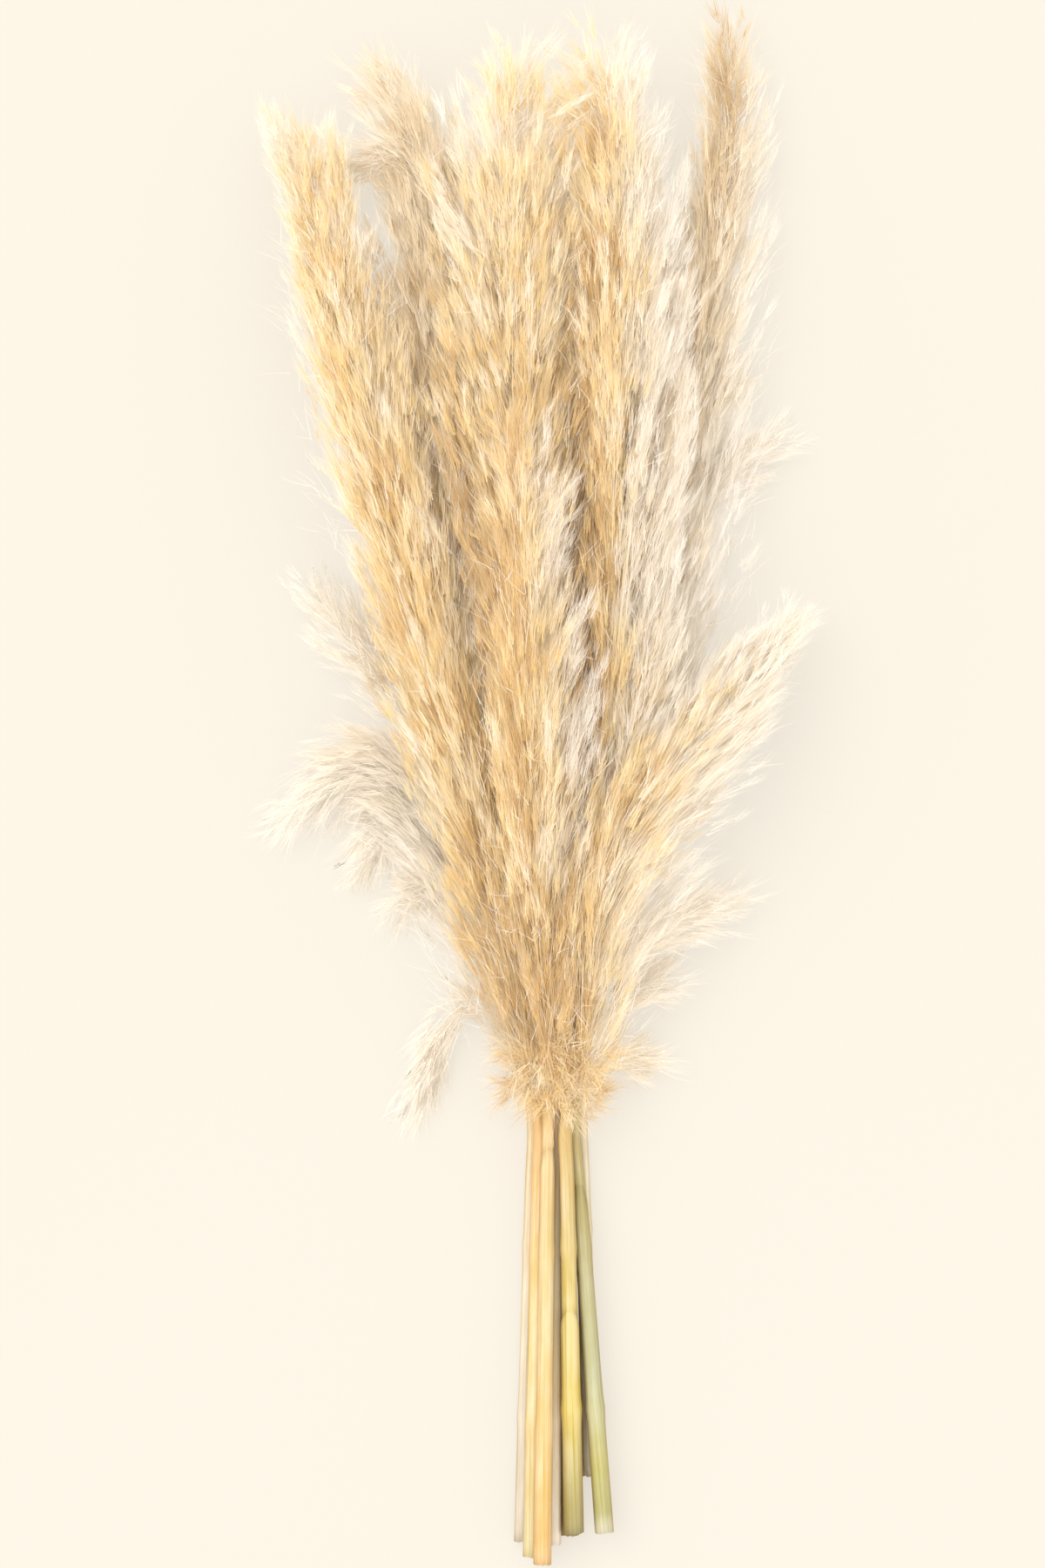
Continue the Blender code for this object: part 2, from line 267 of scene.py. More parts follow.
# %% [markdown]
# ## The stalks at the bottom
# Every stalk follows one smooth line from its cut end, through the waist where all nine lie closest, to
# the tip of its plume. The points are those that the solids were made from, in millimetres, so the hair
# grows exactly where the solid plumes are. A culm keeps to its line up to where Y is `plume_from`, and its
# plume takes over from there, with branches of about `branch` millimetres that reach `reach` sideways and
# upwards. These four lie on the table: a pale one that curls, two grey-brown ones and a tall brown one.

# %% Lower stalks
STALKS = {
    "left_low": dict(
        route=[(-17, -368, 5.1), (-11.7, -164, 4.3), (-18, -118, 9), (-31, -71, 14), (-50, -32, 18),
               (-70, -2, 19), (-90, 8, 18), (-108, 3, 15), (-122, -9, 12)],
        plume_from=-150, reach=(38, 20), branch=56, fan=-0.7,
        tone=0.16, fade=0.40, pale=(0.0, -0.10, 0.0),
        slots=("culm_cream", "plume_pale"),
        tassels=[
            dict(route=[(-62, 20, 22), (-80, 45, 20), (-98, 68, 17), (-110, 84, 14)],
                 reach=(20, 12), tone=0.36, hair=0.85),
            dict(route=[(-50, -38, 18), (-66, -22, 18), (-80, -22, 15), (-90, -33, 12)],
                 reach=(16, 9), tone=0.36),
            dict(route=[(-36, -72, 16), (-50, -52, 16), (-61, -48, 13), (-70, -55, 11)],
                 reach=(16, 9), tone=0.36),
            dict(route=[(-22, -118, 12), (-40, -108, 13), (-55, -120, 11), (-65, -146, 8)],
                 reach=(10, 6), tone=0.36, sparse=4.0),
        ],
    ),
    "left_back": dict(
        route=[(-6.4, -370, 5.1), (-3.9, -164, 4.3), (-6, -126, 7), (-15, -71, 12), (-28, -13, 16),
               (-39, 46, 19), (-48, 105, 20), (-54, 160, 20), (-57, 210, 20), (-60, 256, 21),
               (-65, 297, 21), (-73, 322, 20), (-82, 335, 19)],
        plume_from=-96, reach=(56, 30), branch=72, fan=-0.6, blunt=3, mingle=(-6, -26), pressed=0.5,
        tone=0.0, fade=0.46,
        slots=("culm_straw", "plume_brown"),
        tassels=[
            dict(route=[(-52, 245, 26), (-60, 282, 28), (-74, 301, 25), (-90, 302, 21)],
                 reach=(12, 8), tone=0.35),
        ],
    ),
    "centre_back": dict(
        route=[(6.4, -365, 5.1), (3.9, -164, 4.3), (5, -126, 7), (2, -71, 12), (0, -13, 16),
               (4, 46, 19), (4, 126, 20), (5, 210, 20), (4, 268, 20), (2, 314, 20)],
        plume_from=-60, reach=(54, 30), branch=68, fan=0.3, sparse=1.15, mingle=(-6, -30), pressed=0.5,
        tone=0.0, fade=0.90, pale=(-0.05, 0.0, 0.0),
        slots=("culm_olive", "plume_brown"),
    ),
    "right_back": dict(
        route=[(17, -336, 5.1), (11.7, -164, 4.3), (14, -126, 6), (20, -71, 10), (34, -13, 15),
               (48, 46, 19), (61, 126, 20), (69, 210, 20), (78, 273, 20), (84, 316, 19), (82, 349, 19)],
        plume_from=-40, reach=(38, 24), branch=66, lean=(-0.3, 0.2), fan=-0.4, blunt=3,
        sparse=1.4, clump=0.7, pressed=0.0, dark_base=0.0,
        tone=0.92, fade=-0.76, rachis=-0.35, pale=(0.10, 0.0, -0.36),
        slots=("culm_cream", "plume_brown"),
        tassels=[
            dict(route=[(48, 150, 24), (60, 170, 22), (70, 184, 19), (79, 193, 17)],
                 reach=(13, 7), tone=0.25),
            dict(route=[(50, 112, 25), (62, 133, 22), (78, 150, 18), (96, 160, 15)],
                 reach=(15, 8), tone=0.75, sparse=3.0),
        ],
    ),
}
print("on the table:", ", ".join(STALKS))

# %% [markdown]
# ## The stalks on top
# Five golden plumes lie on the first four. Three long ones make the body of the bunch, a shorter one lies
# over its middle, and another short one bends out to the right with a silky, nearly white end. The hair
# of the right one begins lower than its solid plume does, at `hair_from`, so that no gap opens below it.
# Three culms keep a dry leaf `sheath`, which covers that share of the culm below the waist.

# %% Upper stalks
STALKS |= {
    "left": dict(
        route=[(-12, -374, 13.9), (-8.2, -164, 11.6), (-14, -126, 22), (-23, -71, 33), (-37, -13, 42),
               (-54, 46, 47), (-71, 105, 47), (-87, 160, 45), (-101, 210, 41), (-112, 256, 36),
               (-118, 282, 32), (-122, 302, 28)],
        plume_from=-154, reach=(40, 26), branch=78, lean=(0.25, 0.2), fan=-0.6, blunt=3,
        mingle=(0, -18), room=(-85, -30), pressed=0.4,
        tone=0.13, fade=0.20, pale=(0.03, 0.0, 0.0),
        slots=("culm_straw", "plume_golden"),
        tassels=[
            dict(route=[(-90, 205, 42), (-98, 240, 42), (-103, 272, 40), (-107, 298, 37)],
                 reach=(7, 6), tone=0.3, sparse=3.0, hair=0.7),
            dict(route=[(-100, 205, 40), (-113, 245, 36), (-124, 280, 33), (-133, 306, 30)],
                 reach=(7, 6), tone=0.3, sparse=3.0, hair=0.7),
        ],
    ),
    "centre_mid": dict(
        route=[(-2, -368, 14.2), (0, -164, 11.6), (0, -126, 19), (-4, -71, 30), (-11, -13, 39),
               (-14, 46, 43), (-17, 126, 46), (-20, 210, 50), (-22, 268, 50), (-23, 312, 48),
               (-21, 338, 46)],
        plume_from=-92, reach=(45, 25), branch=76, lean=(-0.2, 0.15), fan=0.3, mingle=(-1, -18),
        tone=0.0, fade=0.50, pale=(0.02, 0.0, 0.0),
        slots=("culm_cream", "plume_golden"),
    ),
    "right": dict(
        route=[(23, -362, 15.6), (8.2, -164, 11.9), (11, -126, 18), (13, -71, 27), (18, -13, 33),
               (25, 46, 42), (26.5, 109, 47), (29, 168, 49), (30, 218, 50), (30, 265, 49),
               (28, 305, 47), (25, 340, 44)],
        plume_from=40, hair_from=-30, reach=(31, 24), branch=80, lean=(0.85, -0.35), fan=0.3, sheath=0.8,
        mingle=(3, -18), pressed=0.7, dark_base=0.0,
        tone=0.20, fade=0.26, pale=(0.26, 0.0, 0.0),
        slots=("culm_olive", "plume_golden"),
        tassels=[
            dict(route=[(17, -40, 38), (30, 0, 45), (38, 45, 48), (43, 90, 49)],
                 reach=(17, 11), tone=0.42, sparse=1.1, strands=150),
            dict(route=[(28, 10, 38), (42, 60, 43), (50, 110, 45), (55, 165, 45)],
                 reach=(13, 11), tone=0.66, sparse=1.3, strands=150),
        ],
    ),
    "centre": dict(
        route=[(-7, -376, 24), (-4.2, -164, 19), (-5, -126, 32), (-8, -71, 50), (-11, -34, 60),
               (-13, 17, 68), (-15, 67, 71), (-16, 109, 71), (-18, 160, 70)],
        plume_from=-156, reach=(27, 24), branch=64, lean=(0.4, 0.0), fan=0.2, sheath=0.9,
        mingle=(2, -12), pressed=1.3,
        tone=0.04, fade=0.28, pale=(0.20, 0.0, 0.0),
        slots=("culm_straw", "plume_golden"),
    ),
    "right_low": dict(
        route=[(8, -362, 16.5), (4.4, -164, 19.2), (13, -126, 30), (18, -76, 43), (30, -36, 49),
               (52, -2, 50), (76, 26, 47), (88, 40, 44), (98, 53, 40), (104, 62, 37)],
        plume_from=-158, reach=(33, 25), branch=66, lean=(0.25, -0.5), fan=-0.7, sheath=0.5, strands=1400,
        mingle=(-6, -24), pressed=0.2,
        tone=0.14, fade=0.85, pale=(0.26, -0.06, 0.0),
        slots=("culm_olive", "plume_golden"),
        tassels=[
            dict(route=[(54, 10, 50), (72, 36, 48), (91, 57, 43), (106, 70, 38)],
                 reach=(12, 8), tone=1.0, hair=0.8, sparse=1.1, strands=300),
            dict(route=[(20, -95, 38), (40, -76, 37), (58, -66, 30), (74, -60, 24)],
                 reach=(17, 9), tone=0.75, sparse=3.0),
            dict(route=[(16, -118, 28), (28, -106, 28), (40, -98, 24), (50, -96, 20)],
                 reach=(14, 7), tone=0.75, sparse=3.0),
            dict(route=[(12, -142, 22), (23, -137, 22), (33, -134, 18), (41, -134, 15)],
                 reach=(12, 6), tone=0.45),
        ],
    ),
}
print("stalks in the bundle:", len(STALKS))

# %% [markdown]
# ## Smooth lines
# A stalk bends in one easy sweep, never with a kink. A Catmull-Rom curve passes through every point of its
# route, which a Bezier curve would only do with handles set by hand. The class reads the curve at many
# places in one call. From here on, s is a distance along a line, t a share of a branch's length and u a
# share of a plume's length.

# %% Lines
ORIGIN = np.array((-9.17, 0.33, 0.0))  # where the middle of the solids lies among the routes' points
WAIST_Y = -164.0
STRAIGHT_SHARE = 0.8  # this share of the culm below the waist is straight
SPAN_STEPS = 20
TANGENT_STEP = 2.0


def unit(vectors):
    """The vectors, each made one long."""
    return vectors / np.maximum(np.linalg.norm(vectors, axis=-1, keepdims=True), 1e-12)


def smooth_line(route, straight):
    """A Catmull-Rom curve through the route, if asked with a straight lower culm."""
    p = np.array(route, float) - ORIGIN
    if straight:
        p = np.insert(p, 1, p[0] + STRAIGHT_SHARE * (p[1] - p[0]), axis=0)
    p = np.vstack([2 * p[0] - p[1], p, 2 * p[-1] - p[-2]])
    t = np.linspace(0, 1, SPAN_STEPS, endpoint=False)[:, None]
    spans = [
        0.5 * (2 * b + (c - a) * t + (2 * a - 5 * b + 4 * c - d) * t**2 + (3 * b - a - 3 * c + d) * t**3)
        for a, b, c, d in zip(p, p[1:], p[2:], p[3:])
    ]
    return np.vstack(spans + [p[-2:-1]])


class Line:
    """A centre line in millimetres, read by distance from its start, many places at once."""

    def __init__(self, route, straight=True):
        self.at = smooth_line(route, straight)
        steps = np.linalg.norm(np.diff(self.at, axis=0), axis=1)
        self.distance = np.concatenate([[0], np.cumsum(steps)])
        self.length = float(self.distance[-1])

    def inside(self, s):
        return np.stack([np.interp(s, self.distance, self.at[:, k]) for k in range(3)], axis=-1)

    def along(self, s):
        """The direction of the line at s."""
        middle = np.clip(s, TANGENT_STEP, self.length - TANGENT_STEP)
        return unit(self.inside(middle + TANGENT_STEP) - self.inside(middle - TANGENT_STEP))

    def point(self, s):
        """The point at s. Past the tip the line runs straight on."""
        s = np.asarray(s, float)
        return self.inside(s) + self.along(s) * np.maximum(s - self.length, 0.0)[..., None]

    def across(self, s):
        """The directions sideways and upward across the line."""
        along = self.along(s)
        side = unit(np.cross(along, (0.0, 0.0, 1.0)))
        return side, np.cross(side, along)

    def where_y(self, y):
        """The distance at which the line first reaches this Y."""
        return float(self.distance[int(np.argmax(self.at[:, 1] >= y - ORIGIN[1]))])


LINES = {name: Line(stalk["route"]) for name, stalk in STALKS.items()}
for name, line in LINES.items():
    print(f"{name}: {line.length:.0f} mm from cut end to tip")

# %% [markdown]
# ## A mesh from arrays
# Python lists are slow for a mesh of a hundred thousand faces. NumPy arrays go straight into Blender
# instead. Each piece also gets its UV map here, since the finishes read it.


# %% Mesh helper
def new_piece(name, points, faces, places, material, slot, node):
    """Adds a piece and counts its triangles. Its points are in millimetres, each with a UV place."""
    corners = np.concatenate([np.asarray(f, np.int32).ravel() for f in faces])
    sizes = np.concatenate([np.full(len(f), len(f[0]), np.int32) for f in faces])
    mesh = bpy.data.meshes.new(name)
    mesh.vertices.add(len(points))
    mesh.vertices.foreach_set("co", (np.asarray(points) * MM).astype(np.float32).ravel())
    mesh.loops.add(len(corners))
    mesh.loops.foreach_set("vertex_index", corners)
    mesh.polygons.add(len(sizes))
    starts = np.concatenate([[0], np.cumsum(sizes)[:-1]])
    mesh.polygons.foreach_set("loop_start", starts.astype(np.int32))
    layer = mesh.uv_layers.new(name="OFBake")
    layer.uv.foreach_set("vector", np.asarray(places, np.float32)[corners].ravel())
    mesh.polygons.foreach_set("use_smooth", np.ones(len(sizes), bool))
    mesh.materials.append(material)
    mesh.update(calc_edges=True)
    mesh.validate()
    piece = bpy.data.objects.new(name, mesh)
    bpy.context.scene.collection.objects.link(piece)
    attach(piece, "root")
    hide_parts(node)
    triangles = int((sizes - 2).sum())
    print(f"{name}: {triangles} triangles")
    return triangles


# %% [markdown]
# ## Culm colours
# A dried culm drifts in colour along its length, from an olive or cream cut end to gold under the plume.
# Every culm has its own straw colours, at stops from its cut end (0) to the waist (1) and on into its
# plume (2). Nine short ramps say this more plainly than one noise with nine settings.

# %% Culm colours
CULM_COLOURS = {
    "left_low": [(0.0, (0.50, 0.43, 0.34)), (0.5, (0.56, 0.50, 0.38)), (1.0, (0.58, 0.45, 0.26))],
    "left_back": [(0.0, (0.46, 0.32, 0.15)), (1.0, (0.52, 0.38, 0.18)), (2.0, (0.56, 0.38, 0.18))],
    "centre_back": [(0.0, (0.30, 0.22, 0.09)), (1.0, (0.40, 0.30, 0.13)), (2.0, (0.50, 0.34, 0.15))],
    "right_back": [(0.0, (0.58, 0.50, 0.36)), (0.6, (0.62, 0.55, 0.38)), (1.0, (0.60, 0.52, 0.36))],
    "left": [(0.0, (0.50, 0.42, 0.20)), (0.25, (0.58, 0.45, 0.21)), (0.6, (0.60, 0.45, 0.19)),
             (1.0, (0.60, 0.38, 0.15))],
    "centre_mid": [(0.0, (0.66, 0.58, 0.45)), (0.3, (0.60, 0.48, 0.30)), (0.7, (0.56, 0.45, 0.24)),
                   (1.0, (0.60, 0.42, 0.20))],
    "right": [(0.0, (0.50, 0.46, 0.31)), (0.05, (0.32, 0.29, 0.09)), (0.18, (0.40, 0.36, 0.13)),
              (0.4, (0.37, 0.36, 0.20)), (0.8, (0.38, 0.32, 0.14)), (1.2, (0.52, 0.39, 0.17)),
              (1.8, (0.64, 0.42, 0.13))],
    "centre": [(0.0, (0.56, 0.34, 0.12)), (0.2, (0.58, 0.39, 0.15)), (0.6, (0.55, 0.43, 0.21)),
               (1.0, (0.56, 0.38, 0.15))],
    "right_low": [(0.0, (0.27, 0.22, 0.07)), (0.1, (0.34, 0.28, 0.09)), (0.3, (0.52, 0.40, 0.09)),
                  (0.5, (0.49, 0.38, 0.10)), (0.8, (0.50, 0.38, 0.16)), (1.0, (0.52, 0.37, 0.16))],
}
SIDE_SHADE_COLOUR = (0.72, 0.50, 0.22, 1)  # painted shade: the culms' sides, where they lie against each other, are darkened towards amber
print("culm ramps:", len(CULM_COLOURS))

# %% [markdown]
# ## Culm finish
# A culm is hard, smooth straw with fine fibres that run lengthwise. The UV map runs round it in one
# direction and along it in the other. The ramp gives the slow change of colour, and noise that is
# stretched lengthwise makes fibres that follow every bend, which noise in space would cut across.

# %% Culm finish
CUT_PLACES = (0.005, 0.015, 0.03)  # the places on the UV map, up the culm, of the cut end's three rings
CULM_FOOT = 0.04  # of the rim
CULM_RUN = 0.95  # and how far the rest of the culm runs on from there
ROUND = (0.02, 0.98)  # the places on the UV map, round the culm, of its first side and its last
RAMP_WAISTS = 2.0  # a ramp ends at this many times the waist's distance
DRIFT_SCALE = (2.5, 7.0)
FIBRE_SCALE = (40.0, 3.0)
# how strongly the painted side shade darkens a culm's two sides
SIDE_SHADE_STRENGTH = 0.55


def culm_finish(name, waist, top):
    """The straw of one culm, whose waist and top lie this far along it."""
    material, wire = new_finish("straw_" + name)
    place = wire.node("ShaderNodeUVMap", {"uv_map": "OFBake"})
    split = wire.node("ShaderNodeSeparateXYZ", None, {0: place})
    waists = top / waist
    height = (split.output(1) - CULM_FOOT) * (waists / CULM_RUN / RAMP_WAISTS)
    base = height.ramp([(position / RAMP_WAISTS, colour) for position, colour in CULM_COLOURS[name]])
    number = float(list(CULM_COLOURS).index(name))
    slow_scale = (DRIFT_SCALE[0], DRIFT_SCALE[1] * waists, 1.0)
    fine_scale = (FIBRE_SCALE[0], FIBRE_SCALE[1] * waists, 1.0)
    slow = wire.node("ShaderNodeMapping", None, {
        "Vector": place, "Scale": slow_scale, "Location": (number, 0, 0)})
    fine = wire.node("ShaderNodeMapping", None, {
        "Vector": place, "Scale": fine_scale, "Location": (number, 3, 0)})
    drift = wire.node("ShaderNodeTexNoise", None, {"Vector": slow, "Scale": 1.0, "Detail": 3.0})
    fibre = wire.node("ShaderNodeTexNoise", None, {
        "Vector": fine, "Scale": 1.0, "Detail": 4.0, "Roughness": 0.7})
    warm = wire.node("ShaderNodeHueSaturation", None, {"Color": base, "Saturation": 1.25, "Value": 0.72})
    pale = wire.node("ShaderNodeHueSaturation", None, {"Color": base, "Saturation": 0.75, "Value": 1.15})
    colour = drift.between(0.3, 0.7).mix(base, pale)
    colour = ((1 - fibre.between(0.35, 0.55)) * 0.7).mix(colour, warm)
    side_shade_mask = wire.maths("COSINE", split.output(0) * (2 * math.pi))
    # painted shade: the culm's two sides, where culms lie against each other, are darkened towards amber
    side_shaded = wire.node("ShaderNodeMix", {"data_type": "RGBA", "blend_type": "MULTIPLY"}, {
        0: 1.0, 6: colour, 7: SIDE_SHADE_COLOUR}, out=2)
    colour = (side_shade_mask * side_shade_mask * side_shade_mask * side_shade_mask * SIDE_SHADE_STRENGTH).mix(colour, side_shaded)
    roughness = 0.4 + 0.25 * fibre
    raised = wire.node("ShaderNodeBump", None, {"Height": fibre, "Strength": 0.3, "Distance": 0.0004})
    cover(wire, wire.node("ShaderNodeBsdfPrincipled", None, {
        "Base Color": colour, "Roughness": roughness, "Normal": raised, "Specular IOR Level": 0.35}))
    return material


# %% [markdown]
# ## Culms
# A culm is a round tube that thins towards its plume. Two joints swell it a little, where its leaves
# stood. Three culms keep their dried leaf sheath, a second skin that ends in a slanting mouth. The cut
# end is a flat ring of hard rind round soft, sunken pith. A tube of rings is built directly, since each
# ring can then have its own radius, slant and depth.

# %% Culm shape
CUT_RADIUS = 4.5
WAIST_RADIUS = 3.4
TOP_RADIUS = 2.6
SHORTEST_TAPER = 60.0
CULM_THICKNESS = {"left_low": 0.85, "centre": 0.86, "centre_mid": 0.88, "right": 0.92}
JOINT_SHARES = (0.30, 0.70)
JOINT_SWELL = 0.13
JOINT_LENGTH = 5.0
RING_PITCH = 6.0
SHEATH_THICKNESS = 0.5
MOUTH_RINGS = (-0.01, 0.3)  # two rings this far from the sheath's mouth make its step
MOUTH_CLEARANCE = 3.0


def culm_radius(name, s, waist, top):
    """How thick the culm is at s, with its joints."""
    below = CUT_RADIUS + (WAIST_RADIUS - CUT_RADIUS) * s / waist
    share = np.clip((s - waist) / max(top - waist, SHORTEST_TAPER), 0.0, 1.0)
    radius = np.where(s <= waist, below, WAIST_RADIUS + (TOP_RADIUS - WAIST_RADIUS) * share)
    radius = radius * CULM_THICKNESS.get(name, 1.0)
    for joint in JOINT_SHARES:
        radius = radius * (1 + JOINT_SWELL * np.exp(-(((s - joint * waist) / JOINT_LENGTH) ** 2)))
    return radius


def ring_places(top, mouth):
    """Where along the culm its rings stand, with a step at the sheath's mouth."""
    places = list(np.arange(0.0, top, RING_PITCH)) + [top]
    if mouth:
        places = [s for s in places if abs(s - mouth) > MOUTH_CLEARANCE] + [mouth + m for m in MOUTH_RINGS]
    return np.array(sorted(places))


print("culm radius, mm: cut end", CUT_RADIUS, "waist", WAIST_RADIUS, "top", TOP_RADIUS)

# %% [markdown]
# ## Culms as tubes
# Low ribs keep the tube from looking like a machined rod, and the rind of the cut end is left a little
# rough by the shears. The rings of the cut end come first, from the sunken pith outwards, so that one
# sheet of faces runs from the middle of the pith up into the plume.

# %% Culm tubes
CULM_SIDES = 24
RIBS = ((3, 0.02), (7, 0.012))  # how many ribs go round, and how high they are
SHEATH_SLANT = 9.0
SLANT_LENGTH = 12.0
PITH_SHARE = 0.78
PITH_DEPTH = 0.7
PITH_HOLLOW = 0.8
CUT_ROUGHNESS = 0.35
LOWEST_CULM = 0.02


def with_cut_end(line, tube, rng):
    """The rings of the tube, after those of its rough rind and its sunken pith."""
    middle = line.point(0.0)
    deeper = line.point(PITH_DEPTH) - middle
    rough = rng.uniform(-CUT_ROUGHNESS, CUT_ROUGHNESS, CULM_SIDES + 1)[:, None] * unit(deeper)
    rough[-1] = rough[0]
    tube[0] = tube[0] + rough
    inner = middle + (tube[0] - middle) * PITH_SHARE
    sunk = inner + deeper * PITH_HOLLOW
    core = np.repeat((middle + deeper)[None], CULM_SIDES + 1, 0)
    return np.concatenate([[core], [sunk], [inner], tube])


def build_culm(name, number):
    """One culm with its joints, sheath and cut end. Returns its count of triangles."""
    stalk = STALKS[name]
    line = LINES[name]
    waist = line.where_y(WAIST_Y)
    top = line.where_y(stalk["plume_from"])
    rng = np.random.default_rng([SEED, number, 1])
    mouth = stalk.get("sheath", 0.0) * waist
    s = ring_places(top, mouth)
    radius = culm_radius(name, s, waist, top)
    if mouth:
        radius = radius + SHEATH_THICKNESS * (s <= mouth)
    turn = np.linspace(0, 2 * np.pi, CULM_SIDES + 1)
    ribs = np.ones(len(turn))
    for times, height in RIBS:
        ribs = ribs + height * np.cos(times * turn + rng.uniform(0, 6))
    slant = SHEATH_SLANT * np.exp(-(((s - mouth) / SLANT_LENGTH) ** 2)) * (mouth > 0)
    reading = s[:, None] + slant[:, None] * np.sin(turn)[None, :]
    side, up = line.across(reading)
    rim = (radius[:, None] * ribs[None, :])[..., None]
    outward = side * np.cos(turn)[None, :, None] + up * np.sin(turn)[None, :, None]
    tube = line.point(reading) + rim * outward
    rings = with_cut_end(line, tube, rng)
    points = rings.reshape(-1, 3)
    points[:, 2] = np.maximum(points[:, 2], LOWEST_CULM)
    wide = CULM_SIDES + 1
    low = np.arange(len(rings) - 1)[:, None] * wide + np.arange(CULM_SIDES)[None, :]
    quads = np.stack([low, low + 1, low + 1 + wide, low + wide], axis=-1).reshape(-1, 4)
    u = np.broadcast_to(np.linspace(*ROUND, wide), (len(rings), wide))
    v = np.concatenate([CUT_PLACES, CULM_FOOT + CULM_RUN * s / s[-1]])
    places = np.stack([u, np.broadcast_to(v[:, None], u.shape)], axis=-1).reshape(-1, 2)
    return new_piece("culm_" + name, points, [quads], places,
                     culm_finish(name, waist, top), stalk["slots"][0], "stem_" + name)


totals = [build_culm(name, number) for number, name in enumerate(STALKS)]

# %% [markdown]
# ## Hair finish
# One hair is a flat, silky fibre that lets light through. Two numbers say all about its colour: how far
# along the hair a point is, and the tone of that hair. Both are its place on the UV map, so one small
# ramp colours a whole plume. Low tones are the golden brown of the
# plume's inside, and high tones the cream of its outer hair. Mixing in a Translucent shader lets the
# light through as it does in thin dry fibres. The hairs of golden and pale plumes end paler than they
# begin. Those of the brown ones end darker, since husks still cling to their tips.

# %% Hair finish
HAIR_TONES = {
    "plume_golden": [(0.0, (0.52, 0.33, 0.13)), (0.14, (0.71, 0.46, 0.17)), (0.35, (0.83, 0.65, 0.32)),
                     (0.65, (0.865, 0.805, 0.72)), (1.0, (0.90, 0.885, 0.86))],
    "plume_brown": [(0.0, (0.52, 0.36, 0.18)), (0.3, (0.79, 0.66, 0.46)), (0.65, (0.87, 0.81, 0.71)),
                    (1.0, (0.90, 0.88, 0.855))],
    "plume_pale": [(0.0, (0.62, 0.49, 0.34)), (0.3, (0.78, 0.69, 0.56)), (0.6, (0.84, 0.78, 0.70)),
                   (1.0, (0.88, 0.86, 0.82))],
}
HAIR_TIPS = {
    "plume_golden": (0.89, 0.86, 0.80, 1),
    "plume_brown": (0.58, 0.45, 0.31, 1),
    "plume_pale": (0.85, 0.81, 0.75, 1),
}
TIP_SHARE = {"plume_golden": (0.35, 0.3), "plume_brown": (0.6, -0.6), "plume_pale": (0.3, 0.3)}
GLOW = {
    "plume_golden": (0.88, 0.76, 0.57, 1),
    "plume_brown": (0.85, 0.75, 0.58, 1),
    "plume_pale": (0.86, 0.81, 0.71, 1),
}
GLOW_SHARE = (0.20, 0.40)  # the share of light that goes through the darkest hairs, and through the palest


def hair_finish(slot):
    """The silk of one kind of plume."""
    material, wire = new_finish("silk_" + slot)
    place = wire.node("ShaderNodeUVMap", {"uv_map": "OFBake"})
    along = wire.node("ShaderNodeSeparateXYZ", None, {0: place})
    tone = along.output(1)
    at_tip = (along**1.3) * (TIP_SHARE[slot][0] + TIP_SHARE[slot][1] * tone)
    colour = at_tip.mix(tone.ramp(HAIR_TONES[slot]), HAIR_TIPS[slot])
    fibre = wire.node("ShaderNodeBsdfPrincipled", None, {
        "Base Color": colour, "Roughness": 0.75 - 0.2 * tone, "Specular IOR Level": 0.25})
    through = wire.node("ShaderNodeBsdfTranslucent", None, {"Color": GLOW[slot]})
    share = GLOW_SHARE[0] + (GLOW_SHARE[1] - GLOW_SHARE[0]) * tone
    cover(wire, wire.node("ShaderNodeMixShader", None, {0: share, 1: fibre, 2: through}))
    return material


HAIR_FINISHES = {slot: hair_finish(slot) for slot in HAIR_TONES}
print("hair finishes:", ", ".join(HAIR_FINISHES))

# %% [markdown]
# ## The outline of a plume
# A plume is narrow at its base, swells soon after it and stays full almost to its tip. One formula holds
# for all nine, and how blunt a plume ends is its only setting. A drawn profile curve would do as well, but
# a formula can be read at any number of places at once.

# %% Fullness
LEAST_FULLNESS = 0.25
SWELL_RATE = 8.0
SWELL_START = 0.06


def fullness(u, blunt=PLAIN_PLUME["blunt"]):
    """How full a plume is at u, from 0 at its base to 1 at its tip."""
    u = np.asarray(u, float)
    swelling = 1 - np.exp(-SWELL_RATE * (u + SWELL_START))
    return LEAST_FULLNESS + (1 - LEAST_FULLNESS) * swelling * (1 - np.clip(u, 0, 1) ** blunt)


print("fullness at base, middle and tip:", fullness([0.0, 0.5, 1.0]).round(2))

# %% [markdown]
# ## Room for every plume
# Where plumes press together, each keeps to its own side of a wall halfway between their lines, as soap
# bubbles do. Every point of a branch is moved back to its own side, though towards the tips it may cross
# the wall and mingle. Without this the plumes would run through each other, and the bundle would look
# like one broad brush. Hair next to a wall is darkened with painted shade, as it would get little light
# in the crevice, and this draws the dark lines between the plumes.

# %% Cells
CULM_CLEARANCE = 4.2
WALL_SHIFTS = {  # how far the first plume gives way to the second, in mm
    ("centre", "left"): 8.0,
    ("centre_mid", "left"): 8.0,
    ("centre", "right"): -8.0,
}
UPRIGHT_WALLS = 0.85  # plumes side by side meet in an upright wall, and stacked ones in a level one
STACKED = 0.8  # plumes are stacked where their gap sideways is less than this share of the one in height
ROUNDS = 3  # a point that leaves one neighbour's side may land on another's
FAR_INSIDE = 99.0  # as good as in the open
NOT_BESIDE = 20.0  # a wall between stacked plumes presses no hair, so it counts as this much further off
CHUNK = 4000


def nearest_on(line, points):
    """The nearest point of the line to each of the points, a chunk at a time to spare memory."""
    found = np.empty_like(points)
    for start in range(0, len(points), CHUNK):
        part = points[start:start + CHUNK]
        gaps = ((part[:, None, :] - line.at[None, ::2, :]) ** 2).sum(-1)
        found[start:start + CHUNK] = line.at[::2][gaps.argmin(1)]
    return found


